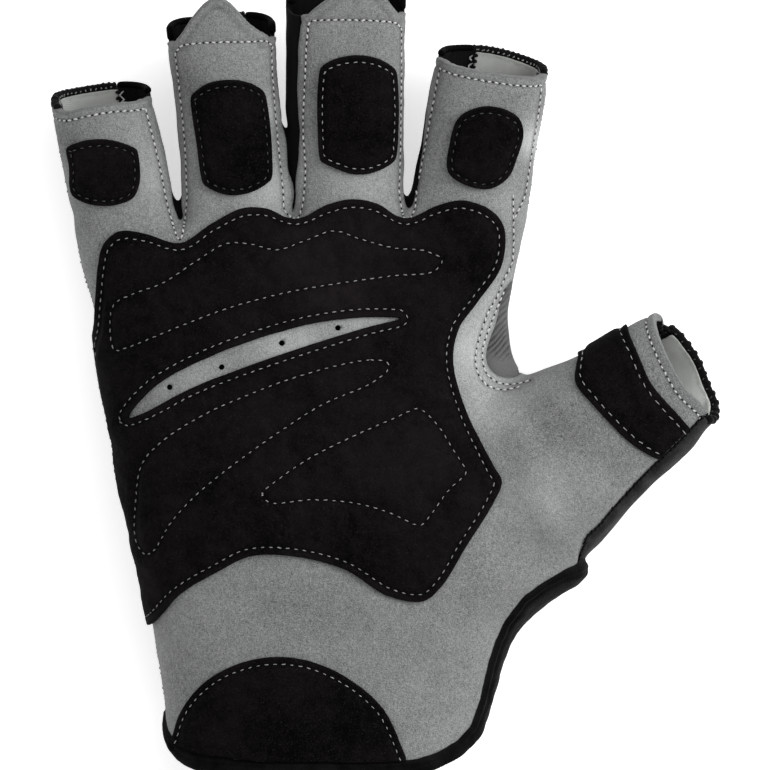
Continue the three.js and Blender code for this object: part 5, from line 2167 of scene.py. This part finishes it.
@dataclass
class Openings(Assembly):
    """The overlocked edge round the back of each opening, and the lining that shows inside three of them."""

    pitch: float = 1.34
    bead: tuple[float, float, float] = (1.3, 2.16, 2.05)
    # size of the pale specks between the overlock's beads: painted highlights on the thread
    speck: float = 0.36
    coarse: dict[Digit, float] = field(default_factory=lambda: {Digit.THUMB: 2.0})  # wider apart than others
    stagger: float = 0.12  # how far every other bead stands further out
    turn: float = math.radians(9)
    core: float = 0.924  # radius of the edge under the thread
    inward: float = 0.85  # how far the core's line lies under the surface
    ahead: float = 0.55  # and past the cut rim
    beaded: dict[Digit, Span] = field(default_factory=lambda: {
        Digit.PINKY: (0.9, 1.64),
        Digit.RING: (1.32, 1.68),
        Digit.MIDDLE: (1.32, 1.68),
        Digit.INDEX: (1.33, 2.03),
        Digit.THUMB: (1.2, 2.08),
    })  # arcs round the rims, in half turns from the right-hand edge
    smooth: dict[Digit, list[Span]] = field(default_factory=lambda: {
        Digit.PINKY: [(1.63, 2.02)],
        Digit.RING: [(0.98, 1.33), (1.67, 2.02)],
        Digit.MIDDLE: [(0.98, 1.33), (1.67, 2.02)],
        Digit.INDEX: [(0.98, 1.34)],
        Digit.THUMB: [],
    })
    lining_limits: dict[Digit, Span] = field(default_factory=lambda: {
        Digit.PINKY: (-14.0, 4.6), Digit.INDEX: (-4.6, 14.6), Digit.THUMB: (-9.4, 20.0),
    })
    lining_offset: float = 1.75
    lining_thickness: float = 0.7
    zigzags: dict[Digit, float] = field(default_factory=lambda: {Digit.PINKY: 5.2, Digit.INDEX: -5.2})
    zigzag_swing: float = 0.6
    zigzag_step: float = 1.1
    zigzag_turns: int = 9
    allowances: dict[Digit, list[float]] = field(default_factory=lambda: {
        Digit.PINKY: [4.4], Digit.INDEX: [-4.4], Digit.THUMB: [-13.2, -12.2, -11.2, -10.2],
    })  # rows of thread over the seam allowances inside
    allowance_reach: Span = (0.2, 9.0)

    def build(self) -> None:
        """Makes all edgings and linings, and the zigzag rows where two linings meet."""
        for digit in Digit:
            self.edging(digit)
        for digit in self.lining_limits:
            self.lining(digit)
            self.allowance(digit)
        for digit in self.zigzags:
            self.zigzag(digit)

    def rim_line(self, digit: Digit, arc: Span) -> Run:
        """A stretch of a digit's cut rim, in order round it, with its normals.

        Args:
            digit: The digit.
            arc: Where the stretch runs, in half turns from the rim's right-hand edge.

        Returns:
            The stretch.
        """
        skin = self.skin.trimmed((digit.mark, 1, 0))
        border = np.unique(skin.border())
        border = border[np.abs(skin.marks[digit.mark][border]) < ON_LINE]
        rim = self.form.rim(digit)
        across, up, along = rim.axes()
        offset = skin.points[border] - rim.middle
        angle = np.arctan2(offset @ up, offset @ across)
        angle = np.mod(angle - 0.5 * np.pi, 2 * np.pi) + 0.5 * np.pi
        kept = np.flatnonzero((angle > arc[0] * np.pi) & (angle < arc[1] * np.pi))
        order = border[kept[np.argsort(angle[kept])]]
        normals = skin.normals[order]
        return skin.points[order] - normals * self.inward + along * self.ahead, normals

    def edging(self, digit: Digit) -> None:
        """The edge of one opening, with thread wrapped over part of it."""
        beaded = self.rim_line(digit, self.beaded[digit])
        coarse = self.coarse.get(digit, 1.0)
        length, height, depth = self.bead
        step = self.form.rim(digit).axes()[2] * self.stagger * coarse
        # the specks between the beads are painted highlights, pale ones and on the thumb dull ones
        self.repeats.lay(
            f"overlock_{digit.value}", self.both_ways(beaded, step, coarse),
            BLACK_THREAD, PALE_THREAD if coarse == 1.0 else DULL_THREAD, [f"finger_rim_{digit.value}"],
            Pitch=self.pitch * coarse,
            Size=(length * coarse**0.6, height * coarse**0.15, depth * coarse**0.15),
            Turn=self.turn, Unevenness=0.12, Between=(self.speck,) * 3, Shift=(0.0, 0.0, -1.12), Seed=7,
        )
        stretches = [beaded] + [self.rim_line(digit, arc) for arc in self.smooth[digit]]
        for number, (line, normals) in enumerate(stretches):
            cord = tube(line, normals, self.core)
            cord.publish(f"edge_{digit.value}_{number}", JET_EDGE if number else BLACK_THREAD)

    def both_ways(self, run: Run, step: Array, coarse: float) -> list[Run]:
        """A line and the same line half a pitch further and a step aside, so that thread follows thread."""
        places, normals = run
        lengths = np.linalg.norm(np.diff(places, axis=0), axis=1)
        start = int(np.searchsorted(np.cumsum(lengths), self.pitch * coarse / 2)) + 1
        return [(places - step / 2, normals), (places[start:] + step / 2, normals[start:])]

    def inner_line(self, digit: Digit, offsets: Sequence[Span], depth: float) -> Run:
        """A line on the inner face of a digit's back half.

        Args:
            digit: The digit.
            offsets: For each point, how far it lies to the side of the digit's middle and behind the rim.
            depth: How far the line lies inside the form.

        Returns:
            The points that meet the face, with normals into the opening.
        """
        inner = self.skin.trimmed((digit.mark, -1, FAR / 2), ("seam", -1, -0.3)).moved(-depth)
        tree = Draper(inner).tree
        rim = self.form.rim(digit)
        across, up, along = rim.axes()
        starts = (rim.middle + across * side - along * behind for side, behind in offsets)
        hits = [tree.ray_cast(Vector(start), Vector(-up)) for start in starts]
        met = [(tuple(hit[0]), tuple(-hit[1])) for hit in hits if hit[0] is not None]
        return tuple(np.array(met).reshape(-1, 2, 3).swapaxes(0, 1))

    def allowance(self, digit: Digit) -> None:
        """Rows of black thread that run inwards over a seam allowance."""
        steps = np.arange(*self.allowance_reach, STITCH_STEP)
        depth = self.lining_offset + self.lining_thickness
        runs = [
            self.inner_line(digit, [(side, behind) for behind in steps], depth)
            for side in self.allowances[digit]
        ]
        # the dull specks between these beads are painted highlights
        self.repeats.lay(
            f"overlock_inner_{digit.value}", long_runs(runs), BLACK_THREAD, DULL_THREAD,
            Pitch=1.5, Size=(1.0, 1.5, 0.9), Turn=0.3, Unevenness=0.3, Between=(0.3, 0.3, 0.3),
            Shift=(0.0, 0.0, 0.3), Seed=13,
        )

    def zigzag(self, digit: Digit) -> None:
        """The white zigzag row where a lining ends beside a side strip."""
        middle, swing = self.zigzags[digit], self.zigzag_swing
        turns = range(self.zigzag_turns)
        offsets = [(middle + swing * (-1) ** i, 0.1 + self.zigzag_step * i) for i in turns]
        line, normals = self.inner_line(digit, offsets, self.lining_offset - 0.1)
        tube(line, normals, 0.2, sides=6).publish(f"zigzag_{digit.value}", WHITE_THREAD)

    def lining(self, digit: Digit) -> None:
        """The pale cloth inside one opening."""
        mark = digit.mark
        skin = self.skin.trimmed((mark, 1, -0.3), (mark, -1, LINING_DEPTH), ("seam", -1, -0.8))
        rim = self.form.rim(digit)
        low, high = self.lining_limits[digit]
        skin = skin.clipped(rim.aside(skin.points) - low)
        skin = skin.clipped(high - rim.aside(skin.points))
        # distance before the rim, where painted shade darkens the lining
        skin.marks[EDGE_MARK] = np.minimum(skin.marks[mark], FAR)
        # painted light and shade on the thumb's lining
        skin.marks[PAINTED_LIGHT_MARK] = painted_light_spots(skin.plan, LINING_PAINTED_LIGHT)
        solid = skin.moved(-self.lining_offset).shell(self.lining_thickness, bulge=0.2, steps=3)
        solid.publish(f"lining_{digit.value}_cloth", PALE_LINING, f"lining_{digit.value}")


def tube(line: Array, normals: Array, radius: float, sides: int = 10, step: float = 0.45) -> Skin:
    """A round cord along a line, with rounded ends.

    Args:
        line: The line's points.
        normals: A direction square to the line at each point.
        radius: The cord's radius.
        sides: Points round it.
        step: Distance between its rings, roughly.

    Returns:
        A closed skin.
    """
    lengths = np.concatenate([[0], np.cumsum(np.linalg.norm(np.diff(line, axis=0), axis=1))])
    marks = np.linspace(0, lengths[-1], max(8, int(lengths[-1] / step)))
    centre, up = (
        np.column_stack([np.interp(marks, lengths, values[:, axis]) for axis in range(3)])
        for values in (line, normals)
    )
    along = unit(np.gradient(centre, axis=0))
    side = unit(np.cross(up, along))
    up = np.cross(along, side)
    ends = np.minimum(marks, marks[-1] - marks)
    swell = radius * np.sqrt(np.clip(1 - (1 - np.minimum(ends / radius, 1)) ** 2, 0.03, 1))
    angles = (2 * np.pi * np.arange(sides) / sides)[:, None]
    rings = [
        centre[i] + swell[i] * (np.cos(angles) * side[i] + np.sin(angles) * up[i])
        for i in range(len(centre))
    ]
    points = np.vstack([*rings, centre[:1], centre[-1:]])
    foot = len(points) - 2
    last, faces = foot - sides, []
    for number in range(sides):
        after = (number + 1) % sides
        for ring in range(0, last, sides):
            a, b = ring + number, ring + after
            faces += [(a, b, b + sides), (a, b + sides, a + sides)]
        faces += [(after, number, foot), (last + number, last + after, foot + 1)]
    return Skin(points, np.array(faces))


@dataclass
class Studio:
    """A pale floor, soft lights and a camera straight above the palm."""

    frame_width: float = 0.1925  # what the photograph's frame spans
    view_centre: tuple[float, float, float] = (0.00036, -0.00094, 0.024)
    lens: float = 600.0
    sensor: float = 36.0
    floor_size: float = 6.0

    def build(self) -> None:
        """Makes floor, world, lights and camera."""
        self.floor()
        self.world()
        self.light("key", (0.95, 0.3, 0.8), 0.85, 13.5)
        self.light("fill", (-0.9, -0.2, 0.8), 1.0, 1.9)
        self.light("top", (0.1, 0.5, 1.2), 1.2, 4.4)
        self.camera()
        bpy.context.scene.view_settings.view_transform = "Standard"

    def floor(self) -> None:
        """A plain pale floor."""
        half = self.floor_size / 2
        corners = np.array([(-half, -half, 0), (half, -half, 0), (half, half, 0), (-half, half, 0)])
        floor = new_piece("floor", corners, faces=[(0, 1, 2, 3)])
        material = bpy.data.materials.new("floor")
        material.use_nodes = True
        Graph(material.node_tree).join(material.node_tree.nodes["Principled BSDF"].inputs, {
            "Base Color": (0.92, 0.92, 0.92, 1), "Roughness": 0.9,
            "Emission Color": (1, 1, 1, 1), "Emission Strength": 0.55,
        })
        floor.data.materials.append(material)

    def world(self) -> None:
        """An even white surround."""
        world = bpy.data.worlds.new("studio")
        world.use_nodes = True
        background = world.node_tree.nodes["Background"]
        background.inputs["Color"].default_value = (1, 1, 1, 1)
        background.inputs["Strength"].default_value = 0.42
        bpy.context.scene.world = world

    def light(self, name: str, place: tuple[float, float, float], size: float, power: float) -> None:
        """A soft box that faces the glove.

        Args:
            name: The light's name.
            place: Where it hangs.
            size: Its edge.
            power: Its power in watts.
        """
        data = bpy.data.lights.new(name, "AREA")
        data.size, data.energy = size, power
        lamp = link(name, data)
        lamp.location = place
        lamp.rotation_mode = "QUATERNION"
        lamp.rotation_quaternion = (-Vector(place)).to_track_quat("-Z", "Y")

    def camera(self) -> None:
        """A long lens straight above, framed as in the photograph."""
        data = bpy.data.cameras.new("camera")
        data.lens, data.sensor_width = self.lens, self.sensor
        distance = self.frame_width * self.lens / self.sensor
        data.clip_start, data.clip_end = distance / 4, distance * 4
        camera = link("camera", data)
        camera.location = Vector(self.view_centre) + Vector((0, 0, distance))
        bpy.context.scene.camera = camera


def main() -> None:
    """Builds the glove and its studio in order."""
    logging.basicConfig(level=logging.INFO, format="%(name)s: %(message)s")
    form = HandForm()
    shared = form, form.build(), Repeats()
    log.info("form: %d faces", len(shared[1].faces))
    for assembly in (Front, Back, Overlays, Wrist, Openings):
        assembly(*shared).build()
    Studio().build()


if __name__ == "__main__":
    main()
